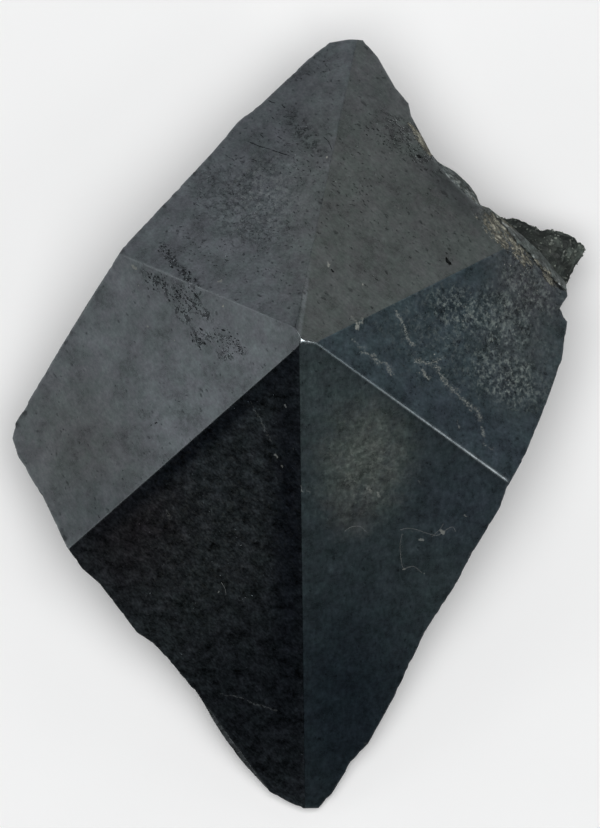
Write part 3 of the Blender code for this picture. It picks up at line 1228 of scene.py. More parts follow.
@dataclass
class Crystal:
    """The hematite crystal: planar faces over broken sides. Sizes are millimetres.

    A tuck draws the sides in: it has its middle in plan, its reach and its move. The break is shallower
    towards calm_bearing, in degrees, and the rim keeps its place within hold of a ridge's end. Scoops are
    small chips of the rim, with none from whole_from upwards.
    """

    rim_step: float = 0.26
    side_step: float = 0.42
    smoothings: int = 4
    grid_step: float = 0.85
    grid_gap: float = 0.65
    insets: tuple[float, float] = (0.20, 0.46)
    ridge_sink: float = 0.16
    ridge_step: float = 0.5
    foot_step: float = 1.1
    foot_rows: int = 32
    foot_cols: int = 24
    groove_width: float = 0.16
    groove_depth: float = 0.30
    nick: float = 0.16
    hold: float = 0.35
    tucks: tuple[tuple[Plan, float, Plan], ...] = (((17.6, 20.4), 1.9, (-0.62, -0.74)),)
    calm_bearing: float = 54.0
    scoop_count: int = 60
    scoop_sizes: tuple[float, float] = (0.15, 0.5)
    whole_from: float = 29.0
    break_depth: float = 0.55
    base_lift: float = 0.25
    crease: float = 40.0
    seed: int = 7

    def build(self, node: Thing) -> Thing:
        """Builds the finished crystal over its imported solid.

        Args:
            node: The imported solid.

        Returns:
            The crystal.
        """
        skin = merged_copy(node)
        for name in ("edge", "hollow"):
            skin.verts.layers.float.new(name)
        ridges, ends = self._open(skin)
        divide_long(skin, {False: self.side_step * 1.35 * MM, True: self.rim_step * 1.3 * MM})
        foot, rim = self._loops(skin)
        self._break_sides(skin, rim, foot, ends)
        layout = self._plan(rim, ridges)
        faces, kinds = self._close_top(skin, rim, layout)
        self._close_foot(skin, foot, faces)
        gaps = bmesh.ops.holes_fill(skin, edges=[e for e in skin.edges if e.is_boundary], sides=0)["faces"]
        for made in bmesh.ops.triangulate(skin, faces=gaps)["faces"]:
            faces[made] = Face.BREAK
        mesh = self._settle(skin, faces, kinds)
        skin.free()
        for finish in FINISHES:
            mesh.materials.append(finish.material())
        piece = add_object("crystal_skin", mesh)
        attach(piece, BODY)
        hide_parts(node.name)
        return piece

    def _open(self, skin: Skin) -> tuple[list, list[Vector]]:
        """Takes the planar faces and the underside off the copy.

        Args:
            skin: The closed copy.

        Returns:
            The ridges, each as its two ends and the faces that meet on it, and the ridges' ends on
            the rim, all in millimetres.
        """
        found: dict[bmesh.types.BMFace, Face] = {}
        for face in skin.faces:
            for plane in PLANES:
                if face.normal.dot(NORMALS[plane.face]) < 0.9995:
                    continue
                if all(abs(v.co.z / MM - plane.height(v.co.x / MM, v.co.y / MM)) < 0.01 for v in face.verts):
                    found[face] = plane.face
        ridges = []
        for edge in skin.edges:
            sides = [found.get(face) for face in edge.link_faces]
            if None not in sides and len(set(sides)) == 2:
                ridges.append((edge.verts[0].co.xy / MM, edge.verts[1].co.xy / MM, set(sides)))
        ends = [
            v.co.xy / MM for v in skin.verts
            if len({found.get(face) for face in v.link_faces} - {None}) > 1
            and any(face not in found for face in v.link_faces)
        ]
        crest = next(ridge for ridge in ridges if ridge[2] == {Face.RIGHT, Face.UPPER_RIGHT})
        near, far = sorted(crest[:2], key=lambda at: at.x)
        ridges = [
            (*(at + (far - near).normalized() * CHIP_SHIFT if (at - far).length < 0.02 else at for at in ridge[:2]),
             ridge[2]) for ridge in ridges
        ]
        under = [face for face in skin.faces if all(v.co.z < 0.01 * MM for v in face.verts)]
        bmesh.ops.delete(skin, geom=[*found, *under], context="FACES")
        bmesh.ops.remove_doubles(skin, verts=skin.verts, dist=0.04 * MM)
        return ridges, ends

    def _loops(self, skin: Skin) -> list[list[Vert]]:
        """Walks round the open foot and the open rim.

        Args:
            skin: The sides alone.

        Returns:
            The vertices of the foot and of the rim, in order, counter-clockwise in plan.
        """
        left = {v for v in skin.verts if v.is_boundary}
        loops = []
        while left:
            start = min(left, key=lambda v: v.co.x)
            loop, last = [start], None
            while True:
                here = loop[-1]
                ahead = [e.other_vert(here) for e in here.link_edges if e.is_boundary]
                step = next(v for v in ahead if v is not last)
                if step is start:
                    break
                last = here
                loop.append(step)
            left.difference_update(loop)
            area = sum(a.co.x * b.co.y - b.co.x * a.co.y for a, b in zip(loop, loop[1:] + loop[:1]))
            loops.append(loop if area > 0 else loop[::-1])
        loops.sort(key=lambda loop: sum(v.co.z for v in loop) / len(loop))
        return loops[0], loops[-1]

    def _depth(self, at: Vector) -> float:
        """Says how far the hackly break lies inside the coarse side.

        Args:
            at: A point of the side, in millimetres.

        Returns:
            The depth there, from 0 to about 1.
        """
        ledges = noise.noise(Vector((at.x * 0.16, at.y * 0.16, at.z * 0.62 + 3.0)))
        shells = noise.voronoi(Vector((at.x, at.y, at.z * 1.5)) / 3.4)[0]
        splinters = noise.voronoi(Vector((at.x, at.y, at.z * 1.3)) / 1.25)[0]
        grit = noise.fractal(at * 1.4, 1.0, 2.0, 4)
        depth = 0.30 + 0.28 * ledges + 0.42 * (shells[0] - 0.3) + 0.22 * (splinters[1] - splinters[0]) + 0.10 * grit
        return max(0.0, depth)

    def _break_sides(self, skin: Skin, rim: list, foot: list, ends: list[Vector]) -> None:
        """Gives the broken sides their fine relief, always inwards.

        Args:
            skin: The open mesh.
            rim: The rim's vertices in order.
            foot: The foot's vertices in order.
            ends: The rim points that stay where they are, in millimetres in plan.
        """
        on_rim = set(rim)
        inner = [v for v in skin.verts if v not in on_rim and v.co.z > STANDING * MM]
        for v in inner:
            for centre, reach, move in self.tucks:
                near = 1 - (v.co.xy / MM - Vector(centre)).length / reach
                v.co.xy += Vector(move) * eased(near, 0.0, 0.8) * MM
        for _ in range(self.smoothings):
            smoothed(skin, inner)
        skin.normal_update()
        moves = {}
        for v in skin.verts:
            at = v.co / MM
            below = top_at(at.x, at.y)[0] - at.z
            calm = eased(math.cos(math.atan2(at.y, at.x) - math.radians(self.calm_bearing)), 0.90, 0.97)
            if v in on_rim:
                out = Vector((v.normal.x, v.normal.y, 0.0)).normalized()
                held = min((at.xy - end).length for end in ends) < self.hold
                chip = max(0.0, noise.fractal(at * 0.9 + Vector((0, 0, 9)), 1.0, 2.0, 4)) * self.nick
                moves[v] = Vector() if held else -out * chip * (1 - 0.6 * calm)
            elif at.z < STANDING:
                moves[v] = Vector((v.normal.x, v.normal.y, 0.0)) * self._depth(at) * -0.3
            else:
                reach = eased(below, 0.0, 1.4) * eased(at.z, 0.0, 0.8)
                moves[v] = -v.normal * self._depth(at) * self.break_depth * reach * (1 - 0.65 * calm)
        for v, move in moves.items():
            v.co += move * MM
        for loop in (rim, foot):
            untangle(loop, [moves[v] * MM for v in loop])
        for v in rim:
            v.co.z = top_at(v.co.x / MM, v.co.y / MM)[0] * MM

    def _plan(self, rim: list, ridges: list) -> Layout:
        """Lays out the points of the pyramid's surface.

        Args:
            rim: The rim's vertices in order.
            ridges: The ridges as _open gives them.

        Returns:
            The layout, its first points being the rim's.
        """
        chance = random.Random(self.seed)
        layout = Layout()
        for v in rim:
            layout.add(v.co.xy / MM, Kind.RIM)
        count, rim_tree = len(rim), in_plan(layout.points)
        scoops = [(layout.points[chance.randrange(count)], chance.uniform(*self.scoop_sizes))
                  for _ in range(self.scoop_count)]
        scoops = [(at, size) for at, size in scoops if at.y < self.whole_from]
        for number in range(count):
            layout.drops[number] = self._scoop(layout.points[number], scoops)
        self._ridges(layout, ridges, rim_tree, chance)
        for scratch in SCRATCHES:
            self._scratch(layout, scratch, chance)
        for dent in DENTS:
            self._dent(layout, dent, 11)
        for pits in PIT_FIELDS:
            for pit in pits.pits():
                reach = max(pit.radii) * 1.1
                if self._inside(layout, Vector(pit.centre), rim_tree, rim) > reach + 0.45 and \
                        layout.room.free(Vector(pit.centre), reach + 0.01):
                    self._dent(layout, pit, 7)
        for skip, inset in enumerate(self.insets, 1):
            for number in range(0, count, skip):
                before, after = layout.points[number - 1], layout.points[(number + 1) % count]
                inward = Vector((before.y - after.y, after.x - before.x)).normalized()
                at = layout.points[number] + inward * inset
                if rim_tree.find((at.x, at.y, 0))[2] > inset * 0.8 and encloses(layout.points[:count], at) \
                        and layout.room.free(at, 0.07):
                    drop = self._scoop(at, scoops)
                    layout.add(at, Kind.RELIEF if drop else Kind.FLAT, drop)
                    layout.room.take(at, 0.08)
        low = Vector((min(p.x for p in layout.points), min(p.y for p in layout.points)))
        high = Vector((max(p.x for p in layout.points), max(p.y for p in layout.points)))
        rise = self.grid_step * math.sqrt(3) / 2
        for row in range(int((high.y - low.y) / rise) + 1):
            for col in range(int((high.x - low.x) / self.grid_step) + 1):
                at = low + Vector(((col + 0.5 * (row % 2)) * self.grid_step, row * rise))
                at += Vector((chance.uniform(-0.12, 0.12), chance.uniform(-0.12, 0.12)))
                if self._inside(layout, at, rim_tree, rim) > self.grid_gap and layout.room.free(at, 0.22):
                    layout.add(at, Kind.FLAT)
        return layout

    def _inside(self, layout: Layout, at: Vector, rim_tree: kdtree.KDTree, rim: list) -> float:
        """Measures how far inside the rim a point lies.

        Args:
            layout: The layout.
            at: The point.
            rim_tree: The rim's points.
            rim: The rim's vertices in order.

        Returns:
            The distance in millimetres, below 0 outside.
        """
        _, number, gap = rim_tree.find((at.x, at.y, 0))
        count = len(rim)
        before, after = layout.points[number - 1], layout.points[(number + 1) % count]
        inward = Vector((before.y - after.y, after.x - before.x))
        return gap if (at - layout.points[number]).dot(inward) > 0 else -gap

    def _scoop(self, at: Vector, scoops: list) -> float:
        """Says how deep the small chips of the rim cut.

        Args:
            at: A point in plan.
            scoops: The chips' centres and sizes.

        Returns:
            The depth there in millimetres.
        """
        depth = 0.0
        for centre, size in scoops:
            gap = (at - centre).length
            if gap < size:
                depth = max(depth, (size - gap) * 0.25)
        return depth

    def _ridges(self, layout: Layout, ridges: list, rim_tree: kdtree.KDTree, chance: random.Random) -> None:
        """Lays out the ridges, slightly rounded, and the groove behind the chipped edge.

        Args:
            layout: The layout.
            ridges: The ridges as _open gives them.
            rim_tree: The rim's points.
            chance: The source of small differences.
        """
        joints: dict[tuple[int, int], int] = {}
        arms: dict[int, list[tuple[Vector, set, float]]] = {}
        runs = []
        for start, end, sides in ridges:
            if top_at(*start)[0] < top_at(*end)[0]:
                start, end = end, start
            ridge = RIDGES.get(frozenset(sides), PLAIN_RIDGE)
            ends = []
            tips = (start, ridge.rub_highlight[0], end - start, 0.0), (end, ridge.rub_highlight[2], start - end, 1.0)
            for at, rub_highlight, out, share in tips:
                _, number, gap = rim_tree.find((at.x, at.y, 0))
                key = (round(at.x * 50), round(at.y * 50))
                if gap < 0.08:
                    joints[key] = number
                elif key not in joints:
                    joints[key] = layout.add(at, Kind.RIDGE, self.ridge_sink * ridge.width_at(share) * 1.4)
                    layout.room.take(at, 0.2)
                number = joints[key]
                if gap >= 0.08:
                    layout.rub_highlights[number] = max(layout.rub_highlights[number], rub_highlight)
                arms.setdefault(number, []).append((out.normalized(), sides, ridge.width_at(share)))
                ends.append(number)
            runs.append((start, end, sides, ridge, ends))
        corners: dict[tuple[int, Face], int] = {}
        for number, meeting in arms.items():
            for face in Face:
                pair = [(way, width) for way, sides, width in meeting if face in sides]
                if len(pair) == 2 and not any(Face.CHIPPED_EDGE in sides for _, sides, _ in meeting):
                    middle = (pair[0][0] + pair[1][0]).normalized()
                    spread = max(0.25, math.sqrt(max(0.0, 1 - middle.dot(pair[0][0]) ** 2)))
                    at = layout.points[number] + middle * (pair[0][1] + pair[1][1]) / 2 / spread
                    corners[number, face] = layout.add(at, Kind.FLAT)
        for start, end, sides, ridge, ends in runs:
            if Face.CHIPPED_EDGE in sides:
                self._groove(layout, start, end, ends, chance)
            else:
                self._ridge(layout, start, end, sides, ridge, ends, corners)

    def _groove(self, layout: Layout, start: Vector, end: Vector, ends: list[int], chance: random.Random) -> None:
        """Lays out one length of the groove.

        Args:
            layout: The layout.
            start: Its upper end.
            end: Its lower end.
            ends: The numbers of both ends.
            chance: The source of small differences.
        """
        run = end - start
        across = run.orthogonal().normalized()
        steps = max(1, round(run.length / self.ridge_step * 1.6))
        middle = [ends[0]]
        rails: tuple[list[int], list[int]] = ([], [])
        for step in range(1, steps):
            depth = self.groove_depth * (0.5 + chance.random())
            at = start.lerp(end, step / steps) + across * chance.gauss(0, 0.06)
            middle.append(layout.add(at, Kind.RELIEF, depth, 1.0))
            for rail, side in zip(rails, (-1, 1)):
                wide = self.groove_width * chance.uniform(0.5, 1.5)
                rail.append(layout.add(at + across * side * wide, Kind.FLAT))
                layout.room.take(at + across * side * wide, 0.05)
            layout.room.take(at, 0.18)
        layout.line([*middle, ends[1]])
        for rail in rails:
            layout.line(rail)

    def _ridge(self, layout: Layout, start: Vector, end: Vector, sides: set, ridge: Ridge, ends: list[int],
               corners: dict) -> None:
        """Lays out one ridge: its middle line, and the line on each side where its rounding ends.

        Args:
            layout: The layout.
            start: Its upper end.
            end: Its lower end.
            sides: The faces that meet on it.
            ridge: How it is worn, and where it carries a painted highlight.
            ends: The numbers of both ends.
            corners: The points where the roundings meet, by end and face.
        """
        run = end - start
        across = run.orthogonal().normalized()
        steps = max(1, round(run.length / self.ridge_step))
        middle = [ends[0]]
        rails = {}
        for face in sorted(sides, key=lambda side: side.value):
            probe = start.lerp(end, 0.5)
            toward = 1 if top_at(*(probe + across * 0.05))[1] is face else -1
            first = corners.get((ends[0], face))
            rails[face] = (toward, [first] if first is not None else [])
        shares = [ridge.near / run.length] if ridge.near else []
        for share in (*shares, *(step / steps for step in range(1, steps))):
            wide = ridge.width_at(share)
            at = start.lerp(end, share)
            rub_highlight = ridge.rub_highlight_at(share)
            middle.append(layout.add(at, Kind.RIDGE, self.ridge_sink * wide, 0.0, rub_highlight))
            layout.room.take(at, wide + 0.06)
            from_ends = (share * run.length, (1 - share) * run.length)
            if min(from_ends) > 0.3:
                for toward, rail in rails.values():
                    rail.append(layout.add(at + across * toward * wide, Kind.FLAT))
        for face, (_, rail) in rails.items():
            last = corners.get((ends[1], face))
            layout.line([*rail, last] if last is not None else rail)
        layout.line([*middle, ends[1]])

    def _scratch(self, layout: Layout, scratch: Scratch, chance: random.Random) -> None:
        """Lays out one scratch: its bottom line and the line along each of its lips.

        Args:
            layout: The layout.
            scratch: The scratch.
            chance: The source of small differences.
        """
        stops = [Vector(stop) for stop in scratch.points]
        line = []
        for a, b in zip(stops, stops[1:]):
            parts = max(1, round((b - a).length / scratch.step))
            line.extend(a.lerp(b, part / parts) for part in range(parts))
        line.append(stops[-1])
        bottom: list[int] = []
        lips: tuple[list[int], list[int]] = ([], [])
        for number, at in enumerate(line):
            before, after = line[max(0, number - 1)], line[min(len(line) - 1, number + 1)]
            across = (after - before).orthogonal().normalized()
            if number in (0, len(line) - 1):
                tip = layout.add(at, Kind.FLAT)
                for track in (bottom, *lips):
                    track.append(tip)
                continue
            size = chance.uniform(0.6, 1.2)
            bottom.append(layout.add(at, Kind.RELIEF, scratch.depth * size, 0.8 * size))
            for lip, side in zip(lips, (-1, 1)):
                lip.append(layout.add(at + across * side * scratch.width * size * 0.5, Kind.FLAT))
            layout.room.take(at, scratch.width)
        for track in (bottom, *lips):
            layout.line(track)

    def _dent(self, layout: Layout, dent: Dent, spokes: int) -> None:
        """Lays out one hollow as rings round a low centre.

        Args:
            layout: The layout.
            dent: The hollow.
            spokes: The points of each ring.
        """
        chance = random.Random(round(dent.centre[0] * 977 + dent.centre[1] * 131))
        centre = Vector(dent.centre)
        turn = Matrix.Rotation(math.radians(dent.turn), 2)
        rings = ((1.0, 0.0, 0.0), (0.62, 0.75, 0.85)) if max(dent.radii) > 0.085 else ((1.0, 0.0, 0.0),)
        low, high = (0.75, 1.15) if spokes < 9 else (0.55, 1.2)
        swings = [chance.uniform(low, high) for _ in range(spokes)]
        for share, drop, hollow in rings:
            ring = []
            for spoke in range(spokes):
                angle = math.tau * (spoke + 0.5 * (share < 1)) / spokes
                reach = share * swings[spoke]
                at = Vector((dent.radii[0] * math.cos(angle), dent.radii[1] * math.sin(angle))) * reach
                kind = Kind.RELIEF if drop else Kind.FLAT
                ring.append(layout.add(centre + turn @ at, kind, drop * dent.depth, hollow * dent.shade))
            layout.line([*ring, ring[0]])
        layout.add(centre, Kind.RELIEF, dent.depth, dent.shade)
        layout.room.take(centre, max(dent.radii) * 1.15)

    def _close_top(self, skin: Skin, rim: list, layout: Layout) -> tuple[dict, dict]:
        """Joins the layout into triangles over the open rim.

        Args:
            skin: The open mesh.
            rim: The rim's vertices in order.
            layout: The layout.

        Returns:
            The face of each triangle, and the kind of each vertex.
        """
        count = len(rim)
        points, _, triangles, origins, _, _ = delaunay_2d_cdt(
            layout.points, layout.edges, [list(range(count))], 1, SNAP)
        edge_layer, hollow_layer = (skin.verts.layers.float[name] for name in ("edge", "hollow"))
        verts, kinds = [], {}
        for at, origin in zip(points, origins):
            number = origin[0] if origin else None
            if number is not None and number < count:
                vert, kind = rim[number], Kind.RIM
                vert.co.z -= layout.drops[number] * MM
                vert[edge_layer] = 0.22
            else:
                drop = layout.drops[number] if number is not None else 0.0
                kind = layout.kinds[number] if number is not None else Kind.FLAT
                vert = skin.verts.new((at.x * MM, at.y * MM, (top_at(at.x, at.y)[0] - drop) * MM))
                vert[edge_layer] = layout.rub_highlights[number] if number is not None else 0.0
                vert[hollow_layer] = layout.hollows[number] if number is not None else 0.0
            kinds[vert] = kind
            verts.append(vert)
        faces = {face: Face.BREAK for face in skin.faces}
        for corners in triangles:
            middle = sum((points[i] for i in corners), Vector((0, 0))) / 3
            faces[add_face(skin, [verts[i] for i in corners], 1)] = top_at(middle.x, middle.y)[1]
        bmesh.ops.delete(skin, geom=[v for v in skin.verts if not v.link_faces], context="VERTS")
        return faces, kinds

    def _close_foot(self, skin: Skin, foot: list, faces: dict) -> None:
        """Joins the underside, which is slightly hollow between the points that it stands on.

        Args:
            skin: The mesh, open underneath.
            foot: The foot's vertices in order.
            faces: The face of each triangle, which gets the underside's.
        """
        chance = random.Random(self.seed)
        points = [v.co.xy / MM for v in foot]
        outline = in_plan(points)
        rows, cols = (range(-most, most + 1) for most in (self.foot_rows, self.foot_cols))
        for at in (Vector((col + 0.5 * (row % 2), row)) * self.foot_step for row in rows for col in cols):
            at = at + Vector((chance.uniform(-0.2, 0.2), chance.uniform(-0.2, 0.2)))
            if outline.find((at.x, at.y, 0))[2] > 0.5 and encloses(points[:len(foot)], at):
                points.append(at)
        found, _, triangles, origins, _, _ = delaunay_2d_cdt(points, [], [list(range(len(foot)))], 1, SNAP)
        verts = []
        for at, origin in zip(found, origins):
            if origin and origin[0] < len(foot):
                verts.append(foot[origin[0]])
                continue
            lift = max(0.0, noise.fractal(Vector((at.x, at.y, 0)) * 0.4, 1.0, 2.0, 5)) * self.base_lift
            verts.append(skin.verts.new((at.x * MM, at.y * MM, lift * MM)))
        for corners in triangles:
            faces[add_face(skin, [verts[i] for i in corners], -1)] = Face.UNDERSIDE

    def _settle(self, skin: Skin, faces: dict, kinds: dict) -> bpy.types.Mesh:
        """Turns the closed skin into a mesh with crisp faces and softly rounded ridges.

        Args:
            skin: The closed skin.
            faces: The face of each triangle.
            kinds: The kind of each vertex of the pyramid's surface.

        Returns:
            The mesh.
        """
        skin.normal_update()
        crease = math.cos(math.radians(self.crease))
        areas = {face: face.calc_area() for face in skin.faces}
        worn = {face: where.value < Face.BREAK.value and any(kinds[v] is Kind.RELIEF for v in face.verts)
                for face, where in faces.items()}
        normals = []
        for face in skin.faces:
            where = faces[face]
            face.material_index = where.value
            face.smooth = True
            for loop in face.loops:
                vert = loop.vert
                if where.value < Face.CHIPPED_EDGE.value and not worn[face]:
                    if kinds[vert] is Kind.RIDGE:
                        meeting = {faces[other] for other in vert.link_faces}
                        shared = (NORMALS[side] for side in NORMALS if side in meeting)
                        normals.append(sum(shared, Vector()).normalized())
                    else:
                        normals.append(NORMALS[where])
                    continue
                total = Vector()
                for other in vert.link_faces:
                    alike = (faces[other].value < Face.BREAK.value) == (where.value < Face.BREAK.value)
                    if alike and other.normal.dot(face.normal) > crease and worn[other] == worn[face]:
                        total += other.normal * areas[other]
                normals.append(total.normalized())
        mesh = bpy.data.meshes.new("crystal_skin")
        skin.to_mesh(mesh)
        mesh.normals_split_custom_set(normals)
        return mesh


# ---- the host rock
@dataclass
class HostRock:
    """The granular lump of rock grown into the crystal's right side. Sizes are millimetres.

    Within hold of the crystal's wall the rock follows the wall.
    """

    step: float = 0.30
    lump: float = 0.30
    grit: float = 0.16
    hold: float = 0.9

    def build(self, node: Thing, crystal: Thing) -> Thing:
        """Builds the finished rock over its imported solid.

        Args:
            node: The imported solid.
            crystal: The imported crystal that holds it.

        Returns:
            The rock.
        """
        skin = merged_copy(node)
        divide_long(skin, {False: self.step * 1.35 * MM, True: self.step * MM})
        smoothed(skin, [v for v in skin.verts if v.co.z > STANDING * MM])
        skin.normal_update()
        wall = BVHTree.FromBMesh(merged_copy(crystal))
        moves = {}
        for v in skin.verts:
            at = v.co / MM
            near, _, _, gap = wall.find_nearest(v.co)
            if gap / MM < self.hold:
                moves[v] = (near - v.co) * 1.25
                if at.z < STANDING:
                    moves[v].z = 0.0
                continue
            lumps = noise.voronoi(at / 1.5)[0]
            grains = noise.voronoi(at / 0.55)[0]
            push = -self.lump * (lumps[0] - 0.25) - self.grit * (grains[0] - 0.3)
            direction = Vector((v.normal.x, v.normal.y, 0.0)) if at.z < STANDING else v.normal
            moves[v] = direction * min(push, 0.06) * MM
        for v, move in moves.items():
            v.co += move
        skin.normal_update()
        for face in skin.faces:
            face.smooth = False
        piece = set_down("rock_skin", skin)
        piece.data.materials.append(ROCK_FINISH.material())
        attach(piece, BODY)
        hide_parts(node.name)
        return piece


# ---- grains and fibres
def geometry_tree(name: str) -> Tree:
    """Opens a geometry tree with its mesh in and out.

    Args:
        name: The tree's name.

    Returns:
        The tree.
    """
    tree = bpy.data.node_groups.new(name, "GeometryNodeTree")
    for way in ("INPUT", "OUTPUT"):
        tree.interface.new_socket("Geometry", in_out=way, socket_type="NodeSocketGeometry")
    return tree


def random_vector(tree: Tree, low: float, high: float, seed: Socket) -> Socket:
    """Gives each point a random vector, each part of it between two numbers."""
    feeds = {0: (low,) * 3, 1: (high,) * 3, "Seed": seed}
    return put(tree, "FunctionNodeRandomValue", feeds, data_type="FLOAT_VECTOR").outputs[0]


def dressed(tree: Tree, shapes: Socket, finish: "CrumbFinish") -> None:
    """Ends a geometry tree: it makes the instances real and gives them their material.

    Args:
        tree: The tree.
        shapes: What it has made.
        finish: The finish.
    """
    real = put(tree, "GeometryNodeRealizeInstances", {"Geometry": shapes}).outputs[0]
    coated = put(tree, "GeometryNodeSetMaterial", {"Geometry": real, "Material": finish.material()}).outputs[0]
    tree.links.new(coated, tree.nodes.new("NodeGroupOutput").inputs[0])


def upper_side(piece: Thing, lowest: float = 0.6) -> Thing:
    """Copies the faces of a piece that look up or sideways, as a carrier for grains.

    Args:
        piece: The piece.
        lowest: Where the copy begins, in millimetres above the floor.

    Returns:
        The carrier.
    """
    skin = bmesh.new()
    skin.from_mesh(piece.data)
    low = [face for face in skin.faces if face.normal.z < -0.1 or face.calc_center_median().z < lowest * MM]
    bmesh.ops.delete(skin, geom=low, context="FACES")
    return set_down("carrier", skin)


def settled(carrier: Thing, tree: Tree, values: dict[str, object], name: str,
            slot: str) -> Thing:
    """Runs a geometry tree on a carrier and keeps the result as a plain piece.

    Args:
        carrier: The object that the tree starts from, which is removed.
        tree: The tree.
        values: Socket identifier to value.
        name: The piece's name.
        slot: Not used.

    Returns:
        The piece.
    """
    modifier = carrier.modifiers.new(name, "NODES")
    modifier.node_group = tree
    for identifier, value in values.items():
        modifier[identifier] = value
    graph = bpy.context.evaluated_depsgraph_get()
    mesh = bpy.data.meshes.new_from_object(carrier.evaluated_get(graph), depsgraph=graph)
    carrier.modifiers.remove(modifier)
    bpy.data.objects.remove(carrier)
    mesh.name = name
    finish = mesh.materials[mesh.polygons[0].material_index]
    mesh.materials.clear()
    mesh.materials.append(finish)
    mesh.polygons.foreach_set("material_index", [0] * len(mesh.polygons))
    piece = add_object(name, mesh)
    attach(piece, BODY)
    return piece


@dataclass(frozen=True)
class Scatter:
    """Grains strewn by a geometry tree over areas that lie on the crystal's faces or on a mesh.

    Sizes are millimetres. Jolt is how uneven a grain is, as a share of it, and rings and spokes say how
    finely an area is laid out.
    """

    name: str
    finish: CrumbFinish
    slot: str
    per_mm2: float
    smallest: float
    largest: float
    seed: int
    areas: tuple[Patch, ...] = ()
    jolt: float = 0.14
    rings: int = 6
    spokes: int = 24

    def tree(self) -> tuple[Tree, dict[str, str]]:
        """Builds the geometry tree.

        Returns:
            The tree, and its input names to their identifiers.
        """
        tree = geometry_tree(self.name)
        names = add_inputs(tree, {"Density": 1.0e6, "Smallest": 0.0001, "Largest": 0.0002, "Seed": 1})
        given = tree.nodes.new("NodeGroupInput").outputs
        points = put(tree, "GeometryNodeDistributePointsOnFaces", {
            "Mesh": given["Geometry"], "Density": given["Density"], "Seed": given["Seed"]})
        ball = put(tree, "GeometryNodeMeshIcoSphere", {"Radius": 0.5, "Subdivisions": 1}).outputs["Mesh"]
        jolt = random_vector(tree, -self.jolt, self.jolt, given["Seed"])
        grain = put(tree, "GeometryNodeSetPosition", {"Geometry": ball, "Offset": jolt}).outputs[0]
        spin = random_vector(tree, 0, math.tau, given["Seed"])
        chance = put(tree, "FunctionNodeRandomValue", {"Seed": given["Seed"]}, data_type="FLOAT").outputs[1]
        skewed = maths(tree, "POWER", chance, 2.0)
        size = maths(tree, "MULTIPLY_ADD", skewed, minus(tree, given["Largest"], given["Smallest"]),
                     given["Smallest"])
        flat = put(tree, "ShaderNodeCombineXYZ", {0: size, 1: times(tree, size, 0.8),
                                                  2: times(tree, size, 0.55)}).outputs[0]
        strewn = put(tree, "GeometryNodeInstanceOnPoints", {
            "Points": points.outputs["Points"], "Instance": grain, "Rotation": spin, "Scale": flat}).outputs[0]
        tone = put(tree, "FunctionNodeRandomValue", {"Seed": 5}, data_type="FLOAT").outputs[1]
        toned = put(tree, "GeometryNodeStoreNamedAttribute", {"Geometry": strewn, "Name": "tone", "Value": tone},
                    data_type="FLOAT", domain="INSTANCE").outputs[0]
        dressed(tree, toned, self.finish)
        return tree, names

    def build(self, carrier: Thing | None = None) -> Thing:
        """Strews the grains.

        Args:
            carrier: What they lie on, where it isn't the named areas of the crystal's faces.

        Returns:
            The grains as one piece.
        """
        tree, names = self.tree()
        values = {
            names["Density"]: self.per_mm2 / MM ** 2, names["Smallest"]: self.smallest * MM,
            names["Largest"]: self.largest * MM, names["Seed"]: self.seed,
        }
        return settled(carrier or self._areas(), tree, values, self.name, self.slot)

    def _areas(self) -> Thing:
        """Lays the named areas on the faces.

        Returns:
            A carrier of small quads.
        """
        skin = bmesh.new()
        for area in self.areas:
            turn = Matrix.Rotation(math.radians(area.turn), 2)
            for ring in range(self.rings):
                for spoke in range(self.spokes):
                    corners = []
                    for reach, angle in ((ring, spoke), (ring + 1, spoke), (ring + 1, spoke + 1), (ring, spoke + 1)):
                        arc = math.tau * angle / self.spokes
                        at = Vector((area.along * math.cos(arc), area.across * math.sin(arc)))
                        at *= reach / self.rings
                        at = Vector((area.x, area.y)) + turn @ at
                        corners.append(skin.verts.new((at.x * MM, at.y * MM, top_at(at.x, at.y)[0] * MM)))
                    skin.faces.new(corners)
        bmesh.ops.remove_doubles(skin, verts=skin.verts, dist=WELD * MM)
        return set_down("carrier", skin)


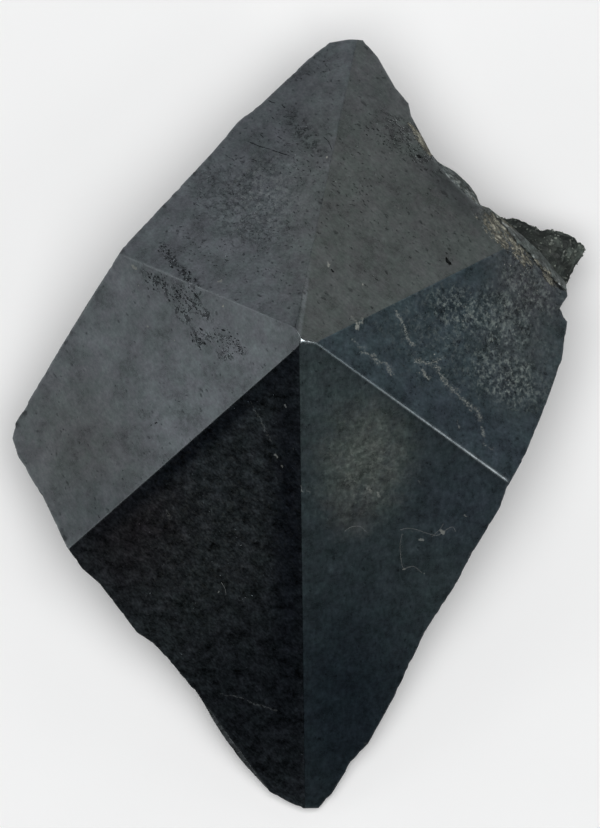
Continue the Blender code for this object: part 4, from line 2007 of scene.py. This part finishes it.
@dataclass(frozen=True)
class Fibres:
    """Curled lint on the faces, as tubes that a geometry tree draws along paths. Sizes are millimetres."""

    name: str = "lint_fibres"
    radius: float = 0.014
    step: float = 0.12
    paths: tuple[tuple[Plan, ...], ...] = ()
    finish: CrumbFinish = CrumbFinish("lint", (0.17, 0.18, 0.18), (0.31, 0.32, 0.31), 0.8)

    def build(self) -> Thing:
        """Draws the fibres.

        Returns:
            The fibres as one piece.
        """
        tree = geometry_tree(self.name)
        names = add_inputs(tree, {"Radius": 0.00002, "Spacing": 0.0001})
        given = tree.nodes.new("NodeGroupInput").outputs
        curve = put(tree, "GeometryNodeMeshToCurve", {"Mesh": given["Geometry"]}).outputs[0]
        smooth = put(tree, "GeometryNodeCurveSplineType", {"Curve": curve}, spline_type="CATMULL_ROM").outputs[0]
        even = put(tree, "GeometryNodeResampleCurve", {"Curve": smooth, "Length": given["Spacing"]}, mode="LENGTH")
        ring = put(tree, "GeometryNodeCurvePrimitiveCircle", {"Resolution": 5, "Radius": given["Radius"]})
        tube = put(tree, "GeometryNodeCurveToMesh", {
            "Curve": even.outputs[0], "Profile Curve": ring.outputs["Curve"], "Fill Caps": True}).outputs[0]
        dressed(tree, tube, self.finish)
        values = {names["Radius"]: self.radius * MM, names["Spacing"]: self.step * MM}
        return settled(self._paths(), tree, values, self.name, "host_rock")

    def _paths(self) -> Thing:
        """Lays the paths just above the faces.

        Returns:
            A carrier of edges.
        """
        skin = bmesh.new()
        for path in self.paths:
            stops = []
            for number, (x, y) in enumerate(path):
                lift = self.radius * (1.0 + 2.0 * math.sin(number * 1.7) ** 2)
                stops.append(skin.verts.new((x * MM, y * MM, (top_at(x, y)[0] + lift) * MM)))
            for start, end in zip(stops, stops[1:]):
                skin.edges.new((start, end))
        return set_down("carrier", skin)


# ---- the studio
@dataclass(frozen=True)
class Softbox:
    """One rectangular light, sized in metres. It faces the crystal from its bearing and rise, in degrees."""

    name: str
    bearing: float
    rise: float
    glow: float
    width: float = 0.30
    height: float = 0.20
    distance: float = 0.55
    tint: Colour = (1.0, 1.0, 1.0)

    def build(self, target: Vector) -> Thing:
        """Hangs the light.

        Args:
            target: What it faces.

        Returns:
            The light.
        """
        turn, rise = math.radians(self.bearing), math.radians(self.rise)
        out = Vector((math.cos(turn) * math.cos(rise), math.sin(turn) * math.cos(rise), math.sin(rise)))
        lamp = bpy.data.lights.new(self.name, "AREA")
        lamp.shape = "RECTANGLE"
        lamp.size, lamp.size_y = self.width, self.height
        lamp.energy = self.glow * math.pi * self.width * self.height
        lamp.color = self.tint
        made = bpy.data.objects.new(self.name, lamp)
        made.location = target + out * self.distance
        made.rotation_euler = out.to_track_quat("Z", "Y").to_euler()
        made.visible_camera = False
        bpy.context.scene.collection.objects.link(made)
        return made


@dataclass(frozen=True)
class Studio:
    """The floor, the lights and the camera that looks straight down. Sizes are metres."""

    target: tuple[float, float, float] = (0.0, 0.0, 0.018)
    eye: tuple[float, float, float] = (0.000015, 0.00105, 1.2)
    focus_height: float = 0.012
    frame_height: float = 0.07452
    sensor: float = 36.0
    floor_half: float = 6.0
    surround: float = 0.02
    cool: Colour = (0.85, 1.0, 1.1)
    seen_surround: float = 0.86
    lights: tuple[Softbox, ...] = ()

    def build(self) -> None:
        """Sets up the whole studio."""
        self._camera()
        self._floor()
        self._surround()
        for light in self.lights:
            light.build(Vector(self.target))
        view = bpy.context.scene.view_settings
        view.view_transform, view.look, view.exposure, view.gamma = "Standard", "None", 0.0, 1.0

    def _camera(self) -> None:
        """Hangs the camera over the crystal."""
        lens = bpy.data.cameras.new("camera")
        lens.sensor_width = self.sensor
        lens.lens = self.sensor * (self.eye[2] - self.focus_height) / self.frame_height
        lens.clip_start, lens.clip_end = 0.05, 50.0
        camera = bpy.data.objects.new("camera", lens)
        camera.location = self.eye
        bpy.context.scene.collection.objects.link(camera)
        bpy.context.scene.camera = camera

    def _floor(self) -> None:
        """Lays the floor just under the crystal."""
        half, low = self.floor_half, -0.01 * MM
        mesh = bpy.data.meshes.new("floor")
        mesh.from_pydata([(-half, -half, low), (half, -half, low), (half, half, low), (-half, half, low)],
                         [], [(0, 1, 2, 3)])
        mesh.materials.append(FloorFinish().material())
        add_object("floor", mesh)

    def _surround(self) -> None:
        """Gives the room its dim light, and a pale look where it is seen."""
        world = bpy.data.worlds.new("room")
        world.use_nodes = True
        tree = world.node_tree
        seen = put(tree, "ShaderNodeLightPath").outputs["Is Camera Ray"]
        dim = tuple(self.surround * part for part in self.cool)
        feed(tree, tree.nodes["Background"], {"Color": blended(tree, seen, dim, (self.seen_surround,) * 3)})
        bpy.context.scene.world = world


# ---- this crystal's finishes
RIM_OCHRE = (
    Patch(18.1, 17.5, 2.7, 1.1, -47, 0.86, softness=0.6), Patch(19.8, 15.5, 1.9, 0.8, -46, 0.85),
    Patch(10.85, 25.65, 1.9, 0.3, -56), Patch(22.4, 13.3, 1.2, 0.4, -50, 0.8),
)


def tone_and_light_wash(x: float, y: float, along: float, across: float, tone: Colour, strength: float = 1.0,
         turn: float = 0.0) -> Patch:
    """Gives a very soft patch for a slow change over a face: partly the face's own tone, partly painted light and
    shade across it.
    """
    return Patch(x, y, along, across, turn, strength, softness=0.85, ragged=0.35, tone=tone)


# Painted light by the ridge between the upper faces near the tip: a band of painted shade on its left and a painted
# highlight line along it.
TIP_RIDGE_PAINTED_LIGHT = (
    Patch(-0.28, 10.1, 0.36, 2.2, -7.8, 0.9, softness=0.8, ragged=0.2, tone=(0.096, 0.109, 0.12)),
    Patch(0.37, 11, 0.19, 3.4, -7.8, 1, softness=0.6, ragged=0.2, tone=(0.196, 0.216, 0.225)),
)
RIDGE_PITS = (
    Patch(-9.9, 13.2, 1.6, 0.4, -48, ragged=1), Patch(-9.2, 11.9, 0.7, 0.35, -70),
    Patch(-10, 11.3, 1.7, 0.6, -46, ragged=1),
)
# Each face's washes paint the slow fall of light and shade across it along with changes of its own tone; the patches
# marked below paint shade and highlights.
FINISHES = (
    HematiteFinish(
        "left_face", (0.128, 0.143, 0.152), cloud_size=3.2, cloud_depth=0.14, grain_turn=-50, grain_length=0.5,
        fleck_share=0.012, dash_share=0.14, dash_dark=0.32,
        pitted=(
            *RIDGE_PITS, Patch(-12.4, 12.5, 2, 0.5, -36, ragged=1), Patch(-10.5, 9.9, 0.85, 0.42, -52),
            Patch(-8.6, 10, 0.9, 0.4, -40), Patch(-9.1, 7.8, 1, 0.36, -64), Patch(-7.7, 7.9, 0.9, 0.36, -8),
            Patch(-5.9, 7.2, 1.2, 0.45, -34), Patch(-6.7, 6.4, 0.7, 0.4, -30),
        ),
        traces=(
            Trace(((-6.81, 10.72), (-6.81, 10.58)), 0.12, 0.1, 0.9),
            Trace(((-13.6, 8.95), (-13.6, 8.85)), 0.1, 0.1, 0.6),
            Trace(((-14.9, 14.25), (-14.7, 14.1)), 0.13, 0.15, 0.5),
        ),
        tints_and_painted_light=(
            # Lighter and darker washes over this face: painted light and shade across it.
            tone_and_light_wash(-9, 1.5, 6.5, 4.5, (0.15, 0.168, 0.18), 0.9, 40),
            tone_and_light_wash(-20, -2, 4.5, 6, (0.103, 0.113, 0.114), 0.8, 20),
            tone_and_light_wash(-17.5, -8, 3.5, 3, (0.09, 0.103, 0.11), 0.8),
        ),
    ),
    HematiteFinish(
        "lower_left_face", (0.115, 0.138, 0.152), cloud_size=1.2, cloud_depth=0.26, grain_turn=-60, grain_depth=0.2,
        grain_length=0.5, grain_width=0.2, dash_share=0.12, dash_dark=0.4, crumb=(0.3, 0.29, 0.225),
        etched=(Patch(-7.5, -9, 6, 10, -20, 0.13, softness=0.8),),
        traces=(
            Trace(((-4.4, 2.2), (-3.5, 0.5), (-2.6, -1.4)), 0.2, 0.46, 0.35),
            Trace(((-2.15, -2.7), (-2.1, -2.8)), 0.1, 0.25, 0.55),
            Trace(((-1.65, -3.6), (-1.55, -3.75)), 0.09, 0.25, 0.5),
            Trace(((-1.32, 1.75), (-1.28, 1.68)), 0.1, 0.25, 0.5),
            Trace(((-0.6, -2.05), (-0.57, -2.15)), 0.08, 0.25, 0.4),
            Trace(((-7.35, -14.95), (-7.28, -15)), 0.1, 0.3, 0.6),
            Trace(((-7.3, -24.25), (-5.5, -24.5), (-4, -25.2), (-2.2, -25.75)), 0.12, 0.42, 0.28),
            Trace(((-11.9, -7.7), (-11.6, -8.2)), 0.45, 0.45, 0.35),
        ),
        tints_and_painted_light=(
            tone_and_light_wash(-15, -9, 5, 6, (0.095, 0.084, 0.092), 0.8, 40),
            tone_and_light_wash(-7, -13, 5, 8, (0.112, 0.13, 0.138), 0.7, -30), tone_and_light_wash(-3.5, -25, 6, 8, (0.062, 0.074, 0.088), 0.9),
            # Dark bands along the ridges at both sides of this face: painted shade.
            tone_and_light_wash(-0.9, -9, 1.6, 16, (0.045, 0.055, 0.072), 1),
            tone_and_light_wash(-9, -1.6, 11.5, 0.9, (0.04, 0.05, 0.066), 1, 41),
        ),
    ),
    HematiteFinish(
        "lower_right_face", (0.087, 0.118, 0.129), cloud_size=1.7, cloud_depth=0.15, grain_turn=-83,
        grain_length=2.4, grain_width=0.36, grain_depth=0.11, dash_share=0.1, dash_dark=0.4,
        crumb=(0.34, 0.38, 0.33), etched=(Patch(5.7, -3.4, 3.4, 4.4, -10, 0.34, softness=0.8),),
        traces=(
            Trace(((6.1, -5.6), (6.35, -5.8)), 0.18, 0.4, 0.5), Trace(((7, -6), (7.1, -6.3)), 0.18, 0.4, 0.6),
            Trace(((10.6, -4.9), (10.9, -5.2)), 0.25, 0.44, 0.35),
            Trace(((0.12, -5.3), (0.2, -5.9)), 0.14, 0.4, 0.6),
            Trace(((0.6, -5.8), (0.95, -5.95)), 0.18, 0.42, 0.5),
            Trace(((5.9, -28.7), (6.6, -29.6)), 0.35, 0.46, 0.4),
            Trace(
                ((9.1, -9.4), (10.4, -9.4), (11.4, -9.7), (12.35, -9.9), (13.1, -9.4), (14, -9.5)), 0.3, 0.5, 0.4,
            ),
            Trace(((9.2, -9.8), (9.1, -12), (9.35, -12.9), (10.2, -12.7), (11, -13.2)), 0.26, 0.5, 0.4),
            Trace(((12.7, -9.5), (12.9, -9.65)), 0.16, 0.3, 0.7),
            Trace(((10.8, -10.2), (11, -10.2)), 0.14, 0.3, 0.6),
            Trace(((9.3, -12.95), (9.45, -12.95)), 0.14, 0.3, 0.6),
            Trace(((14.8, -8), (14.9, -8.1)), 0.12, 0.3, 0.5),
        ),
        tints_and_painted_light=(
            tone_and_light_wash(2.5, 2.5, 5, 6, (0.12, 0.158, 0.164), 0.9),
            # A paler streaky cloud over the etched area: partly its own paler tone, partly a painted sheen.
            Patch(5.9, -3.1, 3.2, 4.2, -14, 0.95, softness=0.85, ragged=1.2, tone=(0.212, 0.246, 0.226)),
            Patch(4.6, -7.4, 1.6, 2.2, -10, 0.7, softness=0.8, ragged=1.2, tone=(0.16, 0.174, 0.176)),
            Patch(7.9, -2.2, 0.3, 3, -12, 0.5, softness=0.8, ragged=0.9, tone=(0.115, 0.146, 0.15)),
            Patch(5.3, -6.4, 0.28, 2.4, -16, 0.5, softness=0.8, ragged=0.9, tone=(0.11, 0.138, 0.145)),
            Patch(4, -1.6, 0.25, 2.2, -8, 0.45, softness=0.8, ragged=0.9, tone=(0.118, 0.148, 0.15)),
            tone_and_light_wash(15, -7, 4.5, 4, (0.085, 0.115, 0.14), 0.8),
            # A dark band along the ridge with the right face: painted shade.
            Patch(10.6, 0.9, 11, 0.45, -36, 0.8, softness=0.8, ragged=0.2, tone=(0.06, 0.08, 0.088)),
            tone_and_light_wash(4, -26, 6.5, 10, (0.036, 0.054, 0.07), 0.95),
        ),
    ),
    HematiteFinish(
        "right_face", (0.09, 0.125, 0.144), cloud_size=2, cloud_depth=0.16, grain_depth=0.1, grain_turn=-20,
        grain_width=0.3, film=(0.27, 0.28, 0.25), dash_share=0.18, crumb=(0.25, 0.29, 0.27),
        tints_and_painted_light=(
            tone_and_light_wash(4.5, 7.5, 3.5, 3, (0.094, 0.131, 0.15), 0.8),
            tone_and_light_wash(14.5, 0.8, 7, 1.6, (0.081, 0.108, 0.131), 0.9, -36),
            tone_and_light_wash(20, 8.5, 3.5, 6, (0.13, 0.154, 0.16), 0.8),
            Patch(20.6, 12.8, 3.6, 2, -40, 0.8, softness=0.8, tone=(0.125, 0.132, 0.142)),
        ),
        etched=(
            Patch(14.4, 10.4, 3, 1.9, -20, 0.85), Patch(18, 9.6, 3.4, 3, strength=0.75),
            Patch(18.5, 4.4, 3.8, 2.3, -30, 0.85), Patch(20.6, 12.6, 3.4, 1.9, -40, 0.65),
            Patch(15.5, 7.5, 8, 4.2, -14, 0.4, softness=0.7),
        ),
        ochre=RIM_OCHRE,
        traces=(
            Trace(((4.6, 9.4), (5.2, 9), (5.6, 9.6)), 0.27, 0.43, 0.76),
            Trace(((5.1, 8.7), (5, 9.2)), 0.23, 0.37, 0.85),
            Trace(((4.7, 7.7), (5.3, 7), (5.8, 7)), 0.28, 0.46, 0.5),
            Trace(((5.6, 6.5), (6.5, 6.3), (6.9, 5.7), (7.8, 5.5), (8.1, 4.5)), 0.33, 0.44, 0.64),
            Trace(((8.6, 10.1), (9.3, 9), (9.6, 7.7), (10.2, 7.1)), 0.3, 0.44, 0.66),
            Trace(((10.4, 5.8), (11.3, 5.5), (11.8, 5.6), (12.6, 6)), 0.42, 0.46, 0.78),
            Trace(((11, 4.9), (11.4, 4.2)), 0.39, 0.42, 0.78),
            Trace(((12.3, 5.2), (12.8, 4.1), (14.4, 2.5), (15.8, 1.4), (16.2, 0.6)), 0.42, 0.45, 0.74),
            Trace(((16.3, -0.1), (16.5, -1)), 0.2, 0.42, 0.66), Trace(((14.1, 0.5), (14.2, -0.2)), 0.2, 0.44, 0.57),
            Trace(((16.5, -1.7), (17.4, -2.2)), 0.39, 0.47, 0.57),
        ),
    ),
    HematiteFinish(
        "upper_right_face", (0.13, 0.145, 0.142), cloud_size=2.4, cloud_depth=0.12, grain_turn=-38,
        grain_length=0.5, grain_depth=0.065, dash_dark=0.4, ochre=RIM_OCHRE,
        tints_and_painted_light=(
            *TIP_RIDGE_PAINTED_LIGHT, tone_and_light_wash(4.5, 20, 3.5, 6, (0.128, 0.142, 0.138), 0.8),
            tone_and_light_wash(12, 19, 5, 3, (0.112, 0.123, 0.121), 0.8, -45),
            # A dark band along the rim beside the broken band: painted shade.
            tone_and_light_wash(13.6, 21.1, 3.6, 0.9, (0.076, 0.083, 0.086), 0.9, -47),
            tone_and_light_wash(5.5, 31, 4.5, 4, (0.122, 0.133, 0.137), 0.8),
        ),
        pitted=(
            Patch(10.6, 25, 3.6, 1.2, -42, 0.55, softness=0.7), Patch(9.2, 27, 1.8, 0.6, -25, 0.5, softness=0.7),
        ),
        traces=(
            Trace(((4.6, 9.7), (5.2, 9.2), (5.7, 9.8)), 0.28, 0.47, 0.6),
            Trace(((2.5, 14.5), (2.6, 14.2)), 0.1, 0.1),
        ),
    ),
    HematiteFinish(
        "upper_left_face", (0.134, 0.151, 0.163), cloud_size=2.8, cloud_depth=0.15, grain_length=0.6,
        grain_width=0.2, grain_depth=0.06, dash_share=0.26, dash_dark=0.42,
        pitted=(
            *RIDGE_PITS, Patch(-11.8, 15.3, 1.2, 0.45, -60), Patch(-5.5, 19.5, 5, 2.6, -40, 0.35, softness=0.7),
            Patch(0.2, 26.5, 2.2, 0.8, -50, 0.6, softness=0.7),
        ),
        crumb=(0.22, 0.245, 0.245), etched=(Patch(-3.1, 20.6, 2.8, 3.4, -30, 0.55, softness=0.8),),
        traces=(Trace(((-7.3, 12.9), (-7, 12.95)), 0.1, 0.12, 0.5),),
        tints_and_painted_light=(
            *TIP_RIDGE_PAINTED_LIGHT, tone_and_light_wash(-1, 28, 5, 4.5, (0.108, 0.121, 0.131), 0.9),
            tone_and_light_wash(-4, 14.5, 5, 3, (0.145, 0.162, 0.174), 0.8), tone_and_light_wash(1.5, 20, 2.6, 9, (0.134, 0.149, 0.15), 0.8, -8),
        ),
    ),
    HematiteFinish(
        "chipped_edge", (0.196, 0.222, 0.214), rough=0.42, metal=0.5, cloud_size=1.1, cloud_depth=0.2,
        grain_turn=-47, grain_length=1.8, grain_width=0.12, grain_depth=0.3, wear=0,
        tints_and_painted_light=(
            # Darker at the chip's outer lower end: painted shade.
            Patch(23.2, 14.2, 1.5, 0.5, -47, 0.8, tone=(0.11, 0.125, 0.12)),
            Patch(18.3, 19, 1.6, 0.6, -47, 0.8, tone=(0.25, 0.245, 0.215)),
        ),
        ochre=(Patch(21.9, 14, 1.8, 0.35, -47, 0.8), Patch(18.4, 18.6, 1.6, 0.3, -47, 0.8)),
    ),
    HematiteFinish(
        "broken_side", (0.128, 0.14, 0.141), rough=0.42, metal=0.62, cloud_size=1.4, cloud_depth=0.26, hackle=0.08,
        wear=0.25, fleck_share=0.08, dash_share=0.3,
        tints_and_painted_light=(
            Patch(14.6, 21.6, 4.6, 1.5, -42, 0.95, tone=(0.165, 0.195, 0.195)),
            Patch(-6.5, -27.5, 6, 2.5, -55, 0.9, tone=(0.05, 0.058, 0.062)),
        ),
        etched=(Patch(14.6, 21.6, 4.8, 1.7, -42),), crumb=(0.44, 0.48, 0.46),
        ochre=(*RIM_OCHRE, Patch(19, 20, 8, 5, -40, 0.35), Patch(-16, 16, 5, 3, 50, 0.25)),
    ),
    HematiteFinish(
        "underside", (0.085, 0.09, 0.092), rough=0.5, metal=0.7, cloud_depth=0.2, hackle=0.05, wear=0,
        ochre=(Patch(3, 4, 14, 9, 60, 0.4),),
    ),
)
# The dark patch on the rock beside the crystal's chipped edge is a painted shadow.
ROCK_FINISH = RockFinish(
    painted_shadows=(Patch(21.1, 17, 2.8, 1.1, -45, 0.8, tone=(0.016, 0.02, 0.018)),),
    ochre=(Patch(22.3, 13.4, 1.2, 0.6, -50, 0.8),),
)

SCATTERS = (
    Scatter(
        "ochre_grains", CrumbFinish("ochre_grain", (0.045, 0.042, 0.032), (0.3, 0.275, 0.21)), "host_rock", 5, 0.06,
        0.2, 3, (Patch(17.9, 17.2, 2.2, 0.85, -47), Patch(19.5, 15.5, 1.3, 0.6, -45)),
    ),
    Scatter(
        "pale_specks", CrumbFinish("pale_speck", (0.12, 0.12, 0.1), (0.55, 0.55, 0.5)), "host_rock", 2.4, 0.04,
        0.12, 8,
        (
            Patch(14.4, 10.4, 2.2, 1.3, -20), Patch(18.2, 9.4, 2.4, 1.8), Patch(18.3, 4.5, 2.8, 1.3, -30),
            Patch(11.4, 5.2, 1.6, 0.6), Patch(20.2, 13, 2.8, 1.3, -42),
        ),
    ),
)
ROCK_GRAINS = Scatter(
    "rock_grains", CrumbFinish("rock_grain", (0.03, 0.038, 0.034), (0.17, 0.19, 0.165), 0.5), "host_rock", 3.2,
    0.12, 0.42, 4,
)
LINT = Fibres(
    paths=(
        (
            (9, -9.35), (9.65, -9.2), (10.4, -9.3), (11.4, -9.65), (12.35, -9.85), (13.05, -9.4), (13.7, -9.1),
            (14, -9.5),
        ),
        ((9.2, -9.7), (9, -10.7), (9.1, -12), (9.35, -12.8), (10.2, -12.65), (11, -13.25)),
        ((12.1, -9.75), (12.6, -9.3), (12.9, -8.8)), ((4, -9.45), (4.65, -9.05), (5.4, -9.05), (5.95, -9.5)),
        ((-7.05, -14.1), (-6.75, -14.6), (-6.65, -15.2)),
    ),
)


STUDIO = Studio(
    lights=(
        Softbox("left_window", 189, 22, 0.82, 0.42, 0.26),
        Softbox("upper_left_box", 120, 18, 0.69, 0.3, 0.22),
        Softbox("upper_right_box", 48, 22, 0.63, 0.3, 0.22),
        Softbox("right_box", -3, 17, 0.33, 0.24, 0.2),
        Softbox("lower_right_box", 297, 20, 0.27, 0.22, 0.16),
        Softbox("lower_left_box", 250, 20, 0.03, 0.22, 0.16),
        Softbox("near_ridge_strip", 326, 27, 1.35, 0.2, 0.16),
        Softbox("right_ridge_strip", 21, 26, 0.55, 0.2, 0.2),
        Softbox("far_ridge_strip", 82, 28, 0.6, 0.28, 0.22),
        Softbox("left_ridge_strip", 154, 29, 0.74, 0.28, 0.22),
        Softbox("tip_strip", 350, 46, 1.6, 0.16, 0.14),
        Softbox("overhead", 90, 88, 5.3, 1.2, 1.2, 1.6),
    ),
)


def main() -> None:
    """Builds the specimen and its studio."""
    logging.basicConfig(level=logging.INFO, format="%(message)s")
    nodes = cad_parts
    STUDIO.build()
    pieces = [Crystal().build(nodes["crystal"])]
    rock = HostRock().build(nodes["matrix"], nodes["crystal"])
    pieces.append(rock)
    pieces.append(ROCK_GRAINS.build(upper_side(rock)))
    pieces.extend(scatter.build() for scatter in SCATTERS)
    pieces.append(LINT.build())
    for piece in pieces:
        triangles = sum(len(face.vertices) - 2 for face in piece.data.polygons)
        log.info("%s: %d triangles, %d materials", piece.name, triangles, len(piece.data.materials))


if __name__ == "__main__":
    main()
